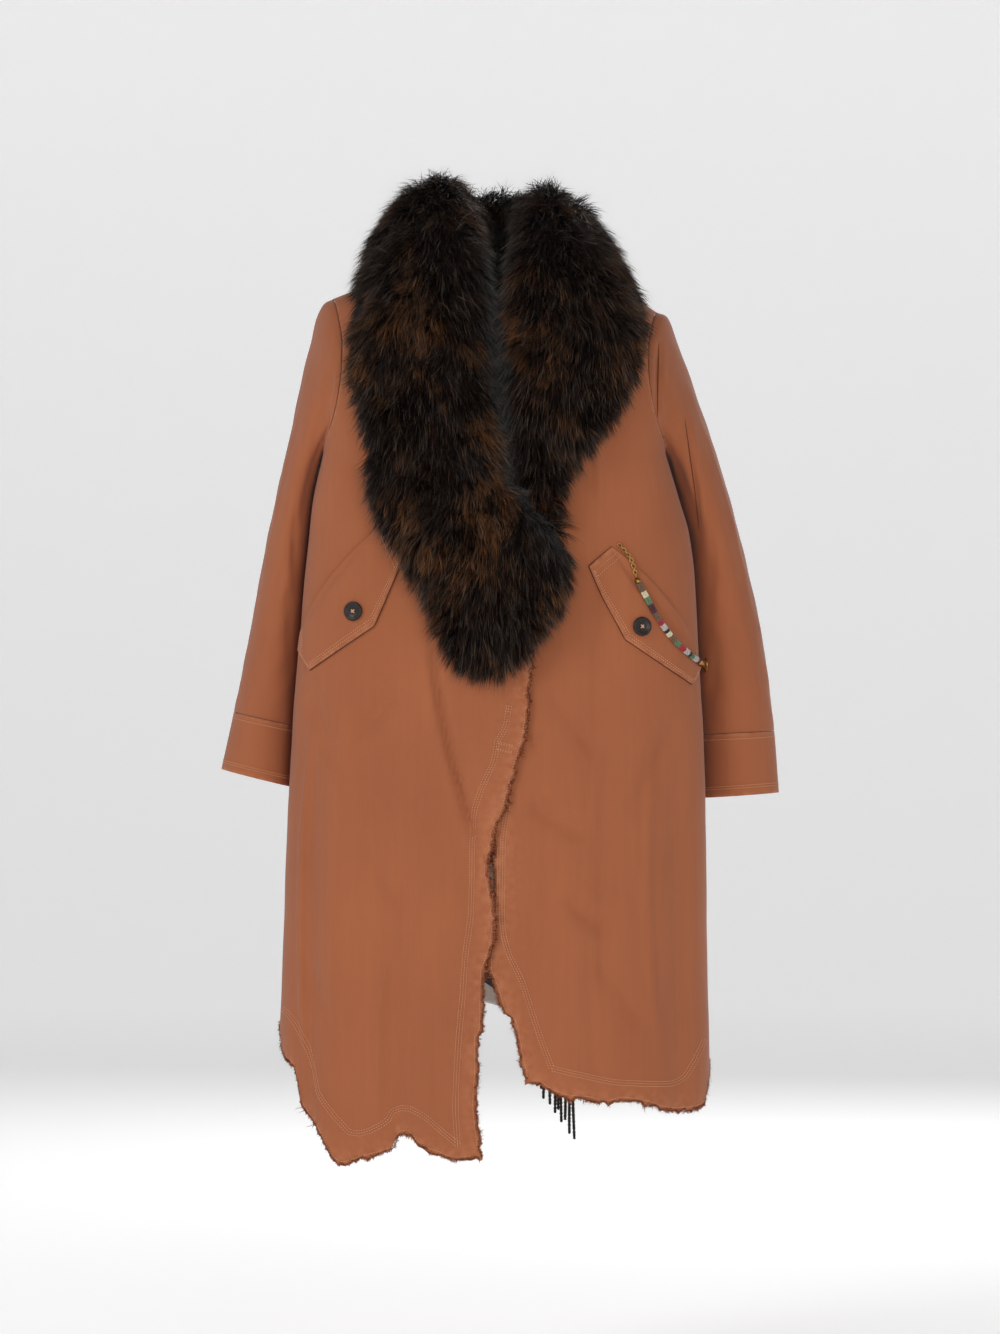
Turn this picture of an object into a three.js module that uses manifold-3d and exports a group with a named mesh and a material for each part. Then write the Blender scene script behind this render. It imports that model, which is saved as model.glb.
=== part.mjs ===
// A mid-length coat with a fur shawl collar, hollow as on a wearer who isn't there, in millimetres.
// +Z is up, -Y is the coat's front and +X is its left side, which a viewer in front sees on the right.
// The origin is in the middle of the neck's base, level with the roots of the shoulders.
import * as THREE from "three";
import { mergeVertices } from "three/addons/utils/BufferGeometryUtils.js";
import Module from "manifold-3d";

const wasm = await Module();
wasm.setup();

// Cloth and seams
const WALL = 2.4; // the canvas shell
const LINING_WALL = 2.2; // the woollen cloth inside the back
const FLAP_WALL = 3.2; // a pocket flap is two layers of canvas
const GAP = 0.5; // between two pieces at a seam
const SEAM_ANGLE = THREE.MathUtils.degToRad(97); // the side seams, from the middle of the front
const SEAM_GAP_ANGLE = 0.0022; // half a seam's gap, as an angle at the side

// The body under the arms, and the dome of the shoulders above it
const CHEST_Z = -230; // the bottom of the armholes
const WIDEST_Y = -25; // the body is widest a little in front of the shoulder seams
const DOME_POWER = 0.9; // below 1 makes the shoulders squarer than an ellipse
const NECK_HALF = 80; // from the middle to a shoulder seam's upper end
const NECK_RISE = 20; // the middle of the neck's base over the origin
const NECK_SOFT = 24; // how gently the neck's base turns down into the shoulders
const RIGHT_SHOULDER = { slope: 0.34, bend: 0.0003 };
const LEFT_SHOULDER = { slope: 0.4, bend: 0.0012 };
const NECK_SCOOP = 0.25; // how far the back's neckline is cut down, as a share of the dome
const TOP_ROW = 0.9975; // the panels stop just short of the shoulder seam

// How finely the pieces are made
const BODY_ROWS = 17; // from hem to underarm
const DOME_ROWS = 9; // from underarm to shoulder seam
const FRONT_COLUMNS = 14;
const BACK_COLUMNS = 18;
const SLEEVE_ROWS = 15;
const CUFF_ROWS = 3;
const NECK_ROWS = 11;
const CHEST_ROWS = 13;
const COLLAR_SIDES = 18;
const CORE_SIDES = 84; // of the room that the coat takes under the collar

// Where the fronts pass over each other
const OVER_LIFT = 2.4; // the right front is moved out
const UNDER_LIFT = -4; // the left front is moved in
const LIFT_HALF = 85; // from the middle to where a front is back on the body's form

// Sleeves
const SLEEVE_CLEARANCE = 4; // between a hanging sleeve and the coat's side
const CUFF_START = 0.87; // the share of a sleeve's length that its cuff starts at
const CUFF_GAP = 0.001; // between a sleeve and its cuff, as a share of that length

// Collar
const COLLAR_FULL = 0.82; // below 1 makes a section fuller than an ellipse
const COLLAR_EDGE = 0.4; // how far up the fur's thickness its edges bulge furthest
const COLLAR_UNDER = 20; // how far a section goes under the coat's form before it is cut away
const COLLAR_REST = 1; // between the collar and the coat that it lies on
const CHEST_TOP = 90; // how far under the neck's base the collar's part on the chest begins
const RIGHT_LOWEST = 503; // and where each of its sides ends
const LEFT_LOWEST = 352;
const CROSSING_GAP = 0.8; // between the two sides of the collar where they cross
const CENTRE_GAP = 0.25; // from the middle of the back to each side of the collar

// Pocket flaps, buttons and the beaded strand
const FLAP_LIFT = [0.5, 1.2]; // off the front, at the seam and at the free edge
const FLAP_COLUMNS = 15;
const FLAP_CORNERS = [6 / FLAP_COLUMNS, 13 / FLAP_COLUMNS]; // where a flap's free edge turns, along its seam
const FLAP_ROWS = 5;
const BUTTON_RADIUS = 12.4;
const BUTTON_SIDES = 18;
const BUTTON_HOLE = { radius: 1.2, from_middle: 2.7, sides: 6 };
const BUTTON_OFF = 0.7; // between a flap and the middle of its button
const STRAND_RADIUS = 3.8;
const STRAND_LIFT = 8.4; // from the coat's form to the middle of the strand
const CHAIN_RADIUS = 1.5;

// Fringe
const FRINGE_STRANDS = 12;
const FRINGE_HALF = [2.1, 1.2]; // half a strand's width, at its root and at its tip

// Reads a table of named columns whose first one rises. The result gives every column at any value of the first,
// in a smooth line through the rows, or in straight ones with corners.
function table(header, rows, straight = false) {
  const names = header.split(" ");
  const at = rows.map((row) => row[0]);
  const slopes = names.map((_, c) => columnSlopes(at, rows.map((row) => row[c])));
  return (value) => {
    const last = at.length - 1;
    const v = Math.min(Math.max(value, at[0]), at[last]);
    let i = 0;
    while (i < last - 1 && v > at[i + 1]) i++;
    const step = at[i + 1] - at[i];
    const t = (v - at[i]) / step;
    const read = (c) => {
      const [a, b, ma, mb] = [rows[i][c], rows[i + 1][c], slopes[c][i] * step, slopes[c][i + 1] * step];
      if (straight) return mix(a, b, t);
      return a + t * ma + t * t * (3 * (b - a) - 2 * ma - mb) + t * t * t * (2 * (a - b) + ma + mb);
    };
    return Object.fromEntries(names.map((name, c) => [name, read(c)]));
  };
}

// The slope of a column at each row, flat at its peaks so that nothing overshoots.
function columnSlopes(at, values) {
  const d = values.slice(1).map((v, i) => (v - values[i]) / (at[i + 1] - at[i]));
  return values.map((_, i) => {
    if (i === 0) return d[0];
    if (i === d.length) return d[i - 1];
    return d[i - 1] * d[i] <= 0 ? 0 : (2 * d[i - 1] * d[i]) / (d[i - 1] + d[i]);
  });
}

// The rings of the body: half widths to the coat's right and left, depths to the front and back, and squareness.
const body = table("z right left front back square", [
  [-1140, 281, 271, 152, 158, 2.35],
  [-1000, 280, 269, 150, 154, 2.35],
  [-925, 278, 267, 149, 150, 2.35],
  [-798, 274, 265, 146, 144, 2.4],
  [-671, 269, 264, 143, 138, 2.4],
  [-580, 264, 261, 141, 132, 2.45],
  [-521, 260, 257, 139, 128, 2.45],
  [-467, 255, 254, 137, 124, 2.5],
  [-378, 247, 249, 133, 119, 2.6],
  [-334, 242, 243, 131, 117, 2.65],
  [-290, 237, 231, 128, 116, 2.7],
  [CHEST_Z, 224, 213, 125, 118, 2.8],
]);

// The main folds: where each lies across the body at its top and at its foot, how deep it is (below 0 is a
// trough), how wide, and the stretch of height that it has.
const FOLDS = [
  { side: "front", top: -84, foot: -22, depth: -5, width: 22, from: -470, to: -830 },
  { side: "front", top: -128, foot: -136, depth: -5, width: 16, from: -620, to: -1140 },
  { side: "front", top: -206, foot: -212, depth: 5, width: 26, from: -420, to: -1140 },
  { side: "front", top: -236, foot: -246, depth: -5, width: 15, from: -480, to: -1140 },
  { side: "front", top: -60, foot: -66, depth: 4, width: 26, from: -700, to: -1140 },
  { side: "front", top: 132, foot: 126, depth: -4, width: 16, from: -235, to: -700 },
  { side: "front", top: 172, foot: 184, depth: 5, width: 26, from: -520, to: -1080 },
  { side: "front", top: 228, foot: 232, depth: -5, width: 17, from: -520, to: -1080 },
  { side: "front", top: 90, foot: 104, depth: 4, width: 30, from: -660, to: -1080 },
  { side: "back", top: -168, foot: -190, depth: 9, width: 34, from: -360, to: -1080 },
  { side: "back", top: -92, foot: -104, depth: -9, width: 30, from: -420, to: -1080 },
  { side: "back", top: -18, foot: -14, depth: 8, width: 32, from: -330, to: -1080 },
  { side: "back", top: 70, foot: 88, depth: -8, width: 30, from: -450, to: -1080 },
  { side: "back", top: 150, foot: 176, depth: 9, width: 34, from: -380, to: -1080 },
];

// The armholes, as angles from the middle of the front or back, against the share of the dome climbed.
const armhole = table("share front back", [
  [0, 97, 83],
  [0.04, 81, 77],
  [0.1, 69, 69],
  [0.2, 62, 62],
  [0.33, 58.4, 58],
  [0.45, 58, 57.5],
  [0.62, 61, 60],
  [0.8, 65, 64.5],
  [1, 69.5, 69.5],
]);

// The front edges below the armholes, as places across the body.
const rightEdge = table("z x", [
  [-1125, -20],
  [-1093, -24],
  [-1049, -28],
  [-1012, -26],
  [-970, -26],
  [-955, -20],
  [-930, -20],
  [-885, -19],
  [-870, -13],
  [-851, -7],
  [-830, -4],
  [-786, -8],
  [-755, -13],
  [-731, -8],
  [-710, -5],
  [-686, 6],
  [-662, 13],
  [-629, 22],
  [-595, 32],
  [-568, 37],
  [-532, 38],
  [-487, 42],
  [-420, 42],
  [-340, 28],
  [-270, -8],
  [CHEST_Z, -25],
]);
const leftEdge = table("z x", [
  [-1028, 36],
  [-990, 28],
  [-975, 25],
  [-948, 19],
  [-934, 6],
  [-903, -4],
  [-880, -12],
  [-830, -8],
  [-770, -4],
  [-737, -4],
  [-640, -25],
  [-560, -40],
  [-480, -42],
  [-420, -35],
  [-340, -8],
  [CHEST_Z, 25],
]);

// The share of the way from a front edge's top to the neck's side, against the share of the dome climbed.
const neckline = table("share across", [
  [0, 0],
  [0.25, 0.62],
  [0.6, 0.9],
  [1, 1],
]);

// The raw hems, as heights against the angle in degrees from the middle of the front.
const rightHem = table("angle z", [
  [-97, -957],
  [-88, -962],
  [-76, -998],
  [-67, -1010],
  [-64, -1037],
  [-62, -1058],
  [-54, -1080],
  [-50, -1092],
  [-44, -1124],
  [-41, -1131],
  [-35, -1124],
  [-26, -1112],
  [-23.5, -1093],
  [-21, -1090],
  [-17, -1107],
  [-13, -1115],
  [-8, -1123],
  [-2, -1119],
]);
const leftHem = table("angle z", [
  [5, -1026],
  [8, -1028],
  [11, -1038],
  [15, -1045],
  [21, -1048],
  [27, -1053],
  [31, -1049],
  [39, -1054],
  [47, -1062],
  [57, -1065],
  [66, -1064],
  [74, -1058],
  [80, -1036],
  [90, -1010],
  [97, -1003],
]);
const backHem = table("angle z", [
  [97, -1003],
  [120, -1010],
  [145, -1014],
  [162, -1002],
  [170.5, -952],
  [176, -936],
  [184, -929],
  [200, -936],
  [220, -948],
  [245, -960],
  [263, -957],
]);

const radians = THREE.MathUtils.degToRad;
const degrees = THREE.MathUtils.radToDeg;
const mix = THREE.MathUtils.lerp;
const smoothstep = THREE.MathUtils.smoothstep;
const vector = (x, y, z) => new THREE.Vector3(x, y, z);
const power = (value, p) => Math.sign(value) * Math.abs(value) ** p;
const bump = (value) => Math.exp(-value * value);
const range = (count, make) => Array.from({ length: count + 1 }, (_, i) => make(i / count));
const middleOf = (ring) => ring.reduce((sum, p) => sum.add(p), vector(0, 0, 0)).divideScalar(ring.length);

// The shoulder seam's height at a place across the coat.
function ridge(x) {
  const { slope, bend } = x < 0 ? RIGHT_SHOULDER : LEFT_SHOULDER;
  const past = Math.abs(x) - NECK_HALF;
  const out = (past + Math.hypot(past, NECK_SOFT)) / 2;
  return NECK_RISE - slope * out - bend * out * out;
}

// How far the folds move the cloth out at a place on the body's form.
function foldDepth(x, isFront, z) {
  let depth = 0;
  for (const fold of FOLDS) {
    if ((fold.side === "front") !== isFront) continue;
    const share = (fold.from - z) / (fold.from - fold.to);
    if (share <= 0) continue;
    depth += fold.depth * smoothstep(share, 0, 0.35) * bump((x - mix(fold.top, fold.foot, share)) / fold.width);
  }
  return depth;
}

// A point on the body's form. The level is a depth below the armholes (0 or less), or the share of the dome
// that is climbed, from 0 at the armholes' bottom to 1 at the shoulder seam.
function onBody(angle, level) {
  const ring = body(CHEST_Z + Math.min(level, 0));
  const across = power(Math.sin(angle), 2 / ring.square);
  const forward = power(Math.cos(angle), 2 / ring.square);
  const x = across * (across < 0 ? ring.right : ring.left);
  const y = WIDEST_Y - forward * (forward > 0 ? ring.front + WIDEST_Y : ring.back - WIDEST_Y);
  if (level > 0) {
    const climbed = (level * Math.PI) / 2;
    return vector(x, y * Math.cos(climbed) ** DOME_POWER, mix(CHEST_Z, ridge(x), Math.sin(climbed) ** DOME_POWER));
  }
  const out = vector(x / ring.left, (y - WIDEST_Y) / ring.front, 0).normalize();
  return vector(x, y, CHEST_Z + level).addScaledVector(out, foldDepth(x, forward > 0, CHEST_Z + level));
}

// The angle at which the front of the form is a distance x from the middle.
function angleAt(x, z) {
  const ring = body(z);
  const share = Math.min(Math.abs(x) / (x < 0 ? ring.right : ring.left), 1);
  return Math.sign(x) * Math.asin(share ** (ring.square / 2));
}

// The level of a place on the form, from its height.
function levelAt(x, z) {
  if (z <= CHEST_Z) return z - CHEST_Z;
  const up = (z - CHEST_Z) / (ridge(x) - CHEST_Z);
  return Math.asin(Math.min(up, 1) ** (1 / DOME_POWER)) / (Math.PI / 2);
}

// A point on the form moved out along its normal.
function offBody(angle, level, out) {
  const p = onBody(angle, level);
  const along = onBody(angle + 0.004, level).sub(p);
  const down = onBody(angle, level + (level > 0 ? -0.004 : -2)).sub(p);
  return p.addScaledVector(down.cross(along).normalize(), out);
}

// A point off the front of the coat, given by its place as seen from the front.
function offFront(x, z, out) {
  return offBody(angleAt(x, z), levelAt(x, z), out);
}

// How far a front is moved out or in where the two fronts pass over each other.
function overlapLift(angle, level, lift) {
  const x = onBody(angle, level).x;
  return lift * smoothstep(lift > 0 ? x : -x, -LIFT_HALF, -LIFT_HALF / 2);
}

// A closed geometry from points and triangles.
function geometryOf(points, faces) {
  const geometry = new THREE.BufferGeometry().setFromPoints(points);
  geometry.setIndex(faces.flat());
  return geometry;
}

// The points of a grid moved in, square to the cloth. A seam's row goes in square to the named axis as well, so
// that the wall doesn't reach over the seam. Rows go round with the angle and climb.
function inset(grid, depth, { closes = false, seam = {} } = {}) {
  const columns = grid[0].length;
  const wrap = (i) => (closes ? (i + columns) % columns : Math.min(Math.max(i, 0), columns - 1));
  const row = (j) => grid[Math.min(Math.max(j, 0), grid.length - 1)];
  return grid.map((points, j) =>
    points.map((p, i) => {
      const along = points[wrap(i + 1)].clone().sub(points[wrap(i - 1)]);
      const up = row(j + 1)[i].clone().sub(row(j - 1)[i]);
      const normal = along.cross(up);
      if (seam.row === j) normal[seam.axis] = 0;
      return p.clone().addScaledVector(normal.normalize(), -depth);
    }),
  );
}

// A cloth wall from a grid of outer points. A grid that closes on itself is a tube.
function clothWall(grid, wall, shape = {}) {
  const closes = shape.closes ?? false;
  const rows = grid.length;
  const columns = grid[0].length;
  const inner = inset(grid, wall, shape);
  const wrap = (i) => (i + columns) % columns;
  const outside = (i, j) => j * columns + wrap(i);
  const inside = (i, j) => rows * columns + outside(i, j);
  const faces = [];
  const quad = (a, b, c, d) => faces.push([a, b, c], [a, c, d]);
  const spans = closes ? columns : columns - 1;
  for (let j = 0; j < rows - 1; j++) {
    for (let i = 0; i < spans; i++) {
      quad(outside(i, j), outside(i + 1, j), outside(i + 1, j + 1), outside(i, j + 1));
      quad(inside(i, j), inside(i, j + 1), inside(i + 1, j + 1), inside(i + 1, j));
    }
    if (closes) continue;
    quad(outside(0, j), outside(0, j + 1), inside(0, j + 1), inside(0, j));
    quad(outside(spans, j + 1), outside(spans, j), inside(spans, j), inside(spans, j + 1));
  }
  for (let i = 0; i < spans; i++) {
    quad(outside(i + 1, 0), outside(i, 0), inside(i, 0), inside(i + 1, 0));
    quad(outside(i, rows - 1), outside(i + 1, rows - 1), inside(i + 1, rows - 1), inside(i, rows - 1));
  }
  return geometryOf([...grid.flat(), ...inner.flat()], faces);
}

// A closed solid from a stack of closed rings, with flat ends.
function ringSolid(rings) {
  const sides = rings[0].length;
  const points = rings.flat();
  const faces = [];
  for (let j = 0; j < rings.length - 1; j++) {
    for (let i = 0; i < sides; i++) {
      const [a, b] = [j * sides + i, j * sides + ((i + 1) % sides)];
      faces.push([a, b, b + sides], [a, b + sides, a + sides]);
    }
  }
  [rings[0], rings[rings.length - 1]].forEach((ring, end) => {
    const first = end * (rings.length - 1) * sides;
    points.push(middleOf(ring));
    for (let i = 0; i < sides; i++) {
      const [a, b] = [first + i, first + ((i + 1) % sides)];
      faces.push(end ? [a, b, points.length - 1] : [b, a, points.length - 1]);
    }
  });
  return geometryOf(points, faces);
}

// A geometry as a solid for cutting and joining, facing out whichever way its rings were given.
function solidOf(geometry) {
  const bare = new THREE.BufferGeometry();
  bare.setAttribute("position", geometry.getAttribute("position"));
  bare.setIndex(geometry.index ?? [...Array(geometry.attributes.position.count).keys()]);
  const merged = mergeVertices(bare, 1e-3);
  const build = (index) => {
    const mesh = { numProp: 3, vertProperties: merged.attributes.position.array, triVerts: index };
    return new wasm.Manifold(new wasm.Mesh(mesh));
  };
  const solid = build(new Uint32Array(merged.index.array));
  return solid.volume() > 0 ? solid : build(new Uint32Array(merged.index.array).reverse());
}

// A solid as a geometry.
function geometryFrom(solid) {
  const mesh = solid.getMesh();
  const geometry = new THREE.BufferGeometry();
  geometry.setAttribute("position", new THREE.BufferAttribute(mesh.vertProperties, 3));
  geometry.setIndex(new THREE.BufferAttribute(mesh.triVerts, 1));
  return geometry;
}

// A tube along a curve, closed at both ends.
function tube(points, radius, steps, sides) {
  const section = new THREE.Shape(
    range(sides - 1, (t) => {
      const turn = (2 * Math.PI * t * (sides - 1)) / sides;
      return new THREE.Vector2(radius * Math.cos(turn), radius * Math.sin(turn));
    }),
  );
  const extrudePath = new THREE.CatmullRomCurve3(points);
  return new THREE.ExtrudeGeometry(section, { steps, extrudePath, curveSegments: 1 });
}

// The same grid given by rows in place of columns.
function rowsOf(columns) {
  return columns[0].map((_, j) => columns.map((column) => column[j]));
}

// The levels of the dome's rows, closer together near the bottom of the armholes.
function domeLevels(top) {
  return range(DOME_ROWS, (t) => top * t ** 1.35);
}

// The levels of a panel's rows in one column, from its hem to its upper edge.
function panelLevels(hemZ, top) {
  const low = range(BODY_ROWS, (t) => (hemZ - CHEST_Z) * (1 - t));
  return [...low, ...domeLevels(top).slice(1)];
}

const SHOULDER_SEAM = { seam: { row: BODY_ROWS + DOME_ROWS, axis: "y" } };

// One front, from its side seam and armhole to its front edge and neckline.
function frontPanel(side) {
  const isRight = side < 0;
  const [edge, hem, lift] = isRight ? [rightEdge, rightHem, OVER_LIFT] : [leftEdge, leftHem, UNDER_LIFT];
  const edgeAngle = (level) => {
    if (level <= 0) return angleAt(edge(CHEST_Z + level).x, CHEST_Z + level);
    return angleAt(mix(edge(CHEST_Z).x, side * NECK_HALF, neckline(level).across), CHEST_Z);
  };
  const sideAngle = (level) => side * (radians(armhole(Math.max(level, 0)).front) - SEAM_GAP_ANGLE);
  const lowestEdge = edgeAngle(hem(isRight ? -2 : 5).z - CHEST_Z);
  const columns = range(FRONT_COLUMNS, (u) => {
    const hemAngle = degrees(mix(side * SEAM_ANGLE, lowestEdge, u));
    return panelLevels(hem(hemAngle).z, TOP_ROW).map((level) => {
      const angle = mix(sideAngle(level), edgeAngle(level), u);
      return offBody(angle, level, overlapLift(angle, level, lift));
    });
  });
  if (!isRight) columns.reverse();
  return clothWall(rowsOf(columns), WALL, SHOULDER_SEAM);
}

// The back, in one piece, with its neckline scooped between the shoulder seams.
function backGrid() {
  const columns = range(BACK_COLUMNS, (u) => {
    const sideways = 2 * u - 1;
    const hemAngle = degrees(Math.PI + sideways * (Math.PI - SEAM_ANGLE));
    const atTop = onBody(Math.PI + sideways * radians(armhole(1).back), 0).x;
    const inNeck = Math.max(1 - (atTop / NECK_HALF) ** 2, 0);
    const top = TOP_ROW - NECK_SCOOP * Math.sqrt(inNeck);
    return panelLevels(backHem(hemAngle).z, top).map((level) => {
      const half = radians(armhole(Math.max(level, 0)).back) - SEAM_GAP_ANGLE;
      return onBody(Math.PI + sideways * half, level);
    });
  });
  return rowsOf(columns);
}

// The woollen cloth inside the lower back, where the parted fronts show it. It keeps off the side seams, its hem
// is a little above the back's, and it ends under the waist.
const LINING = { columns: [1, BACK_COLUMNS], rows: 9, aboveHem: 0.05 };

function liningGrid() {
  const grid = inset(backGrid(), WALL + GAP).map((row) => row.slice(...LINING.columns));
  const hem = grid[0].map((p, i) => p.clone().lerp(grid[1][i], LINING.aboveHem));
  return [hem, ...grid.slice(1, LINING.rows)];
}

// The sleeves' outer edges as seen from the front, the height of their inner edges, and the middle and the depth
// of each ring from front to back, against the share of the sleeve's length.
const rightSleeve = table("share outX outZ inZ middleY depth", [
  [0, 214, -33, -229, -8, 116],
  [0.02, 223, -37, -230, -6, 119],
  [0.05, 235, -60, -231, -3, 122],
  [0.1, 242, -90, -234, 3, 126],
  [0.18, 255, -140, -241, 11, 130],
  [0.27, 266, -195, -258, 18, 131],
  [0.34, 276, -237, -285, 22, 131],
  [0.53, 301, -353, -385, 26, 126],
  [0.72, 322, -467, -487, 28, 112],
  [CUFF_START, 341, -560, -578, 27, 100],
  [1, 357, -633, -656, 26, 90],
]);
const leftSleeve = table("share outX outZ inZ middleY depth", [
  [0, 203.5, -49.5, -229, -8, 116],
  [0.02, 214, -53, -230, -6, 119],
  [0.06, 228, -85, -231.5, -2, 122],
  [0.11, 239, -114, -234, 3, 126],
  [0.18, 256, -161, -241, 11, 129],
  [0.26, 272, -207, -258, 18, 130],
  [0.31, 282, -237, -275, 21, 130],
  [0.48, 313, -348, -370, 26, 124],
  [0.68, 339, -467, -480, 28, 112],
  [CUFF_START, 354, -584, -589, 27, 98],
  [1, 360, -663, -670, 26, 90],
]);

// The line of an armhole, from its top round the front and under the arm to the back, just off the panels.
function armholeRing(side) {
  const half = (key) =>
    domeLevels(TOP_ROW).map((level) => {
      const angle = radians(armhole(level)[key]);
      return onBody(side * (key === "front" ? angle : Math.PI - angle), level);
    });
  const front = half("front").reverse();
  const ring = [...front, ...half("back").slice(1, -1)];
  const middle = middleOf(ring);
  return ring.map((p) => {
    const inwards = vector(0, middle.y - p.y, middle.z - p.z).normalize();
    return p.clone().addScaledVector(inwards, GAP / 2).add(vector(side * GAP, 0, 0));
  });
}

// Half the body's width at a place from front to back.
function halfWidthAt(side, y, z) {
  const ring = body(z);
  const deep = y < WIDEST_Y ? ring.front + WIDEST_Y : ring.back - WIDEST_Y;
  const share = Math.min(Math.abs(y - WIDEST_Y) / deep, 1) ** ring.square;
  return (side < 0 ? ring.right : ring.left) * (1 - share) ** (1 / ring.square);
}

// One ring of a sleeve. Near the armhole it keeps what the armhole's line has beyond a plain oval.
function sleeveRing(side, share, hole) {
  const sleeve = side < 0 ? rightSleeve : leftSleeve;
  const oval = (at, innerX) => {
    const { outX, outZ, inZ, middleY, depth } = sleeve(at);
    return hole.map((_, i) => {
      const turn = (2 * Math.PI * i) / hole.length;
      const out = (1 + Math.cos(turn)) / 2;
      return vector(side * mix(innerX, outX, out), middleY - (depth / 2) * Math.sin(turn), mix(inZ, outZ, out));
    });
  };
  const { inZ, middleY } = sleeve(share);
  const atHole = Math.abs(hole[hole.length / 2].x);
  const beside = halfWidthAt(side, middleY, Math.min(inZ, CHEST_Z)) + SLEEVE_CLEARANCE;
  const ring = oval(share, mix(atHole, beside, smoothstep(share, 0, 0.12)));
  const start = oval(0, atHole);
  const kept = 1 - smoothstep(share, 0, 0.38);
  return ring.map((p, i) => p.addScaledVector(hole[i].clone().sub(start[i]), kept));
}

// A stretch of a sleeve as a tube of cloth.
function sleeveTube(side, from, to, rows) {
  const hole = armholeRing(side);
  const grid = range(rows, (t) => sleeveRing(side, mix(from, to, t), hole));
  if (side < 0) grid.forEach((ring) => ring.reverse());
  return clothWall(grid, WALL, { closes: true, seam: from === 0 ? { row: 0, axis: "x" } : {} });
}

// The collar from the middle of the back round the neck to the front: the middles of a section's inner and outer
// faces, and from its middle, the way to its crown and to its underside. Across is from the coat's middle.
const NECK_COLUMNS = "share inX inY inZ outX outY outZ upX upY upZ underY underZ";
const rightNeck = table(NECK_COLUMNS, [
  [0, 0, 46, 28, 0, 146, -22, 0, -4, 114, 0, -100],
  [0.25, 26, 38, 34, 98, 128, -24, -4, -6, 116, 0, -100],
  [0.45, 38, 12, 40, 158, 62, -18, -12, -8, 114, 0, -100],
  [0.6, 38, -18, 41, 178, 2, -14, -20, -12, 112, 0, -100],
  [0.8, 26, -58, 22, 182, -42, -36, -16, -40, 92, 20, -80],
  [1, 8, -98, -24, 183, -72, -62, -6, -66, 50, 45, -50],
]);
const leftNeck = table(NECK_COLUMNS, [
  [0, 0, 46, 28, 0, 146, -22, 0, -4, 114, 0, -100],
  [0.25, 25, 38, 33, 93, 126, -25, -6, -6, 110, 0, -100],
  [0.45, 36, 12, 37, 146, 60, -22, -14, -8, 105, 0, -100],
  [0.6, 35, -18, 35, 160, 2, -20, -24, -12, 103, 0, -100],
  [0.8, 18, -58, 12, 178, -42, -41, -18, -40, 84, 20, -80],
  [1, 4, -96, -34, 182, -70, -68, -8, -62, 46, 45, -50],
]);

// The collar on the chest, by depth below the neck: its edges across the coat, and its fur's thickness.
const rightChest = table("down inner outer thick", [
  [CHEST_TOP, -2, -181, 62],
  [130, 1, -179, 60],
  [175, 5, -173, 58],
  [225, 11, -162, 56],
  [265, 18, -160, 58],
  [300, 36, -153, 62],
  [338, 76, -135, 64],
  [375, 92, -112, 62],
  [410, 85, -94, 57],
  [440, 66, -84, 50],
  [470, 45, -72, 40],
  [490, 28, -55, 28],
  [RIGHT_LOWEST, 4, -26, 12],
]);
const leftChest = table("down inner outer thick", [
  [CHEST_TOP, -4, 178, 60],
  [120, -2, 171, 57],
  [150, 1, 160, 53],
  [190, 5, 139, 48],
  [230, 10, 106, 42],
  [275, 18, 86, 34],
  [310, 34, 77, 27],
  [340, 46, 71, 18],
  [LEFT_LOWEST, 52, 66, 10],
]);

// A section of the collar round the neck.
function neckSection(side, share) {
  const at = (side < 0 ? rightNeck : leftNeck)(share);
  const inner = vector(side * at.inX, at.inY, at.inZ);
  const outer = vector(side * at.outX, at.outY, at.outZ);
  const middle = inner.clone().lerp(outer, 0.5).add(vector(side * CENTRE_GAP, 0, 0));
  const across = outer.clone().sub(inner).multiplyScalar(0.5);
  const up = vector(side * at.upX, at.upY, at.upZ);
  const under = vector(0, at.underY, at.underZ);
  return (c, s) => middle.clone().addScaledVector(across, c).addScaledVector(s > 0 ? up : under, Math.abs(s));
}

// A section of the collar on the chest, level and bent round the coat's front.
function chestSection(side, down) {
  const { inner, outer, thick } = (side < 0 ? rightChest : leftChest)(down);
  const edge = COLLAR_EDGE * thick;
  return (c, s) => {
    const x = (inner + outer) / 2 + (c * (outer - inner)) / 2;
    return offFront(x, -down, edge + s * (s > 0 ? thick - edge : edge + COLLAR_UNDER));
  };
}

// One side of the collar as a whole sweep, which still goes through the coat under it.
function collarSweep(side, grow) {
  const lowest = side < 0 ? RIGHT_LOWEST : LEFT_LOWEST;
  const sections = [
    ...range(NECK_ROWS, (t) => neckSection(side, t)),
    ...range(CHEST_ROWS, (t) => chestSection(side, mix(CHEST_TOP, lowest, t))),
  ];
  const rings = sections.map((section) => {
    const ring = range(COLLAR_SIDES - 1, (t) => {
      const turn = (2 * Math.PI * t * (COLLAR_SIDES - 1)) / COLLAR_SIDES;
      return section(power(Math.cos(turn), COLLAR_FULL), power(Math.sin(turn), COLLAR_FULL));
    });
    const middle = middleOf(ring);
    return ring.map((p) => p.clone().addScaledVector(p.clone().sub(middle).normalize(), grow));
  });
  return solidOf(ringSolid(rings));
}

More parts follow.
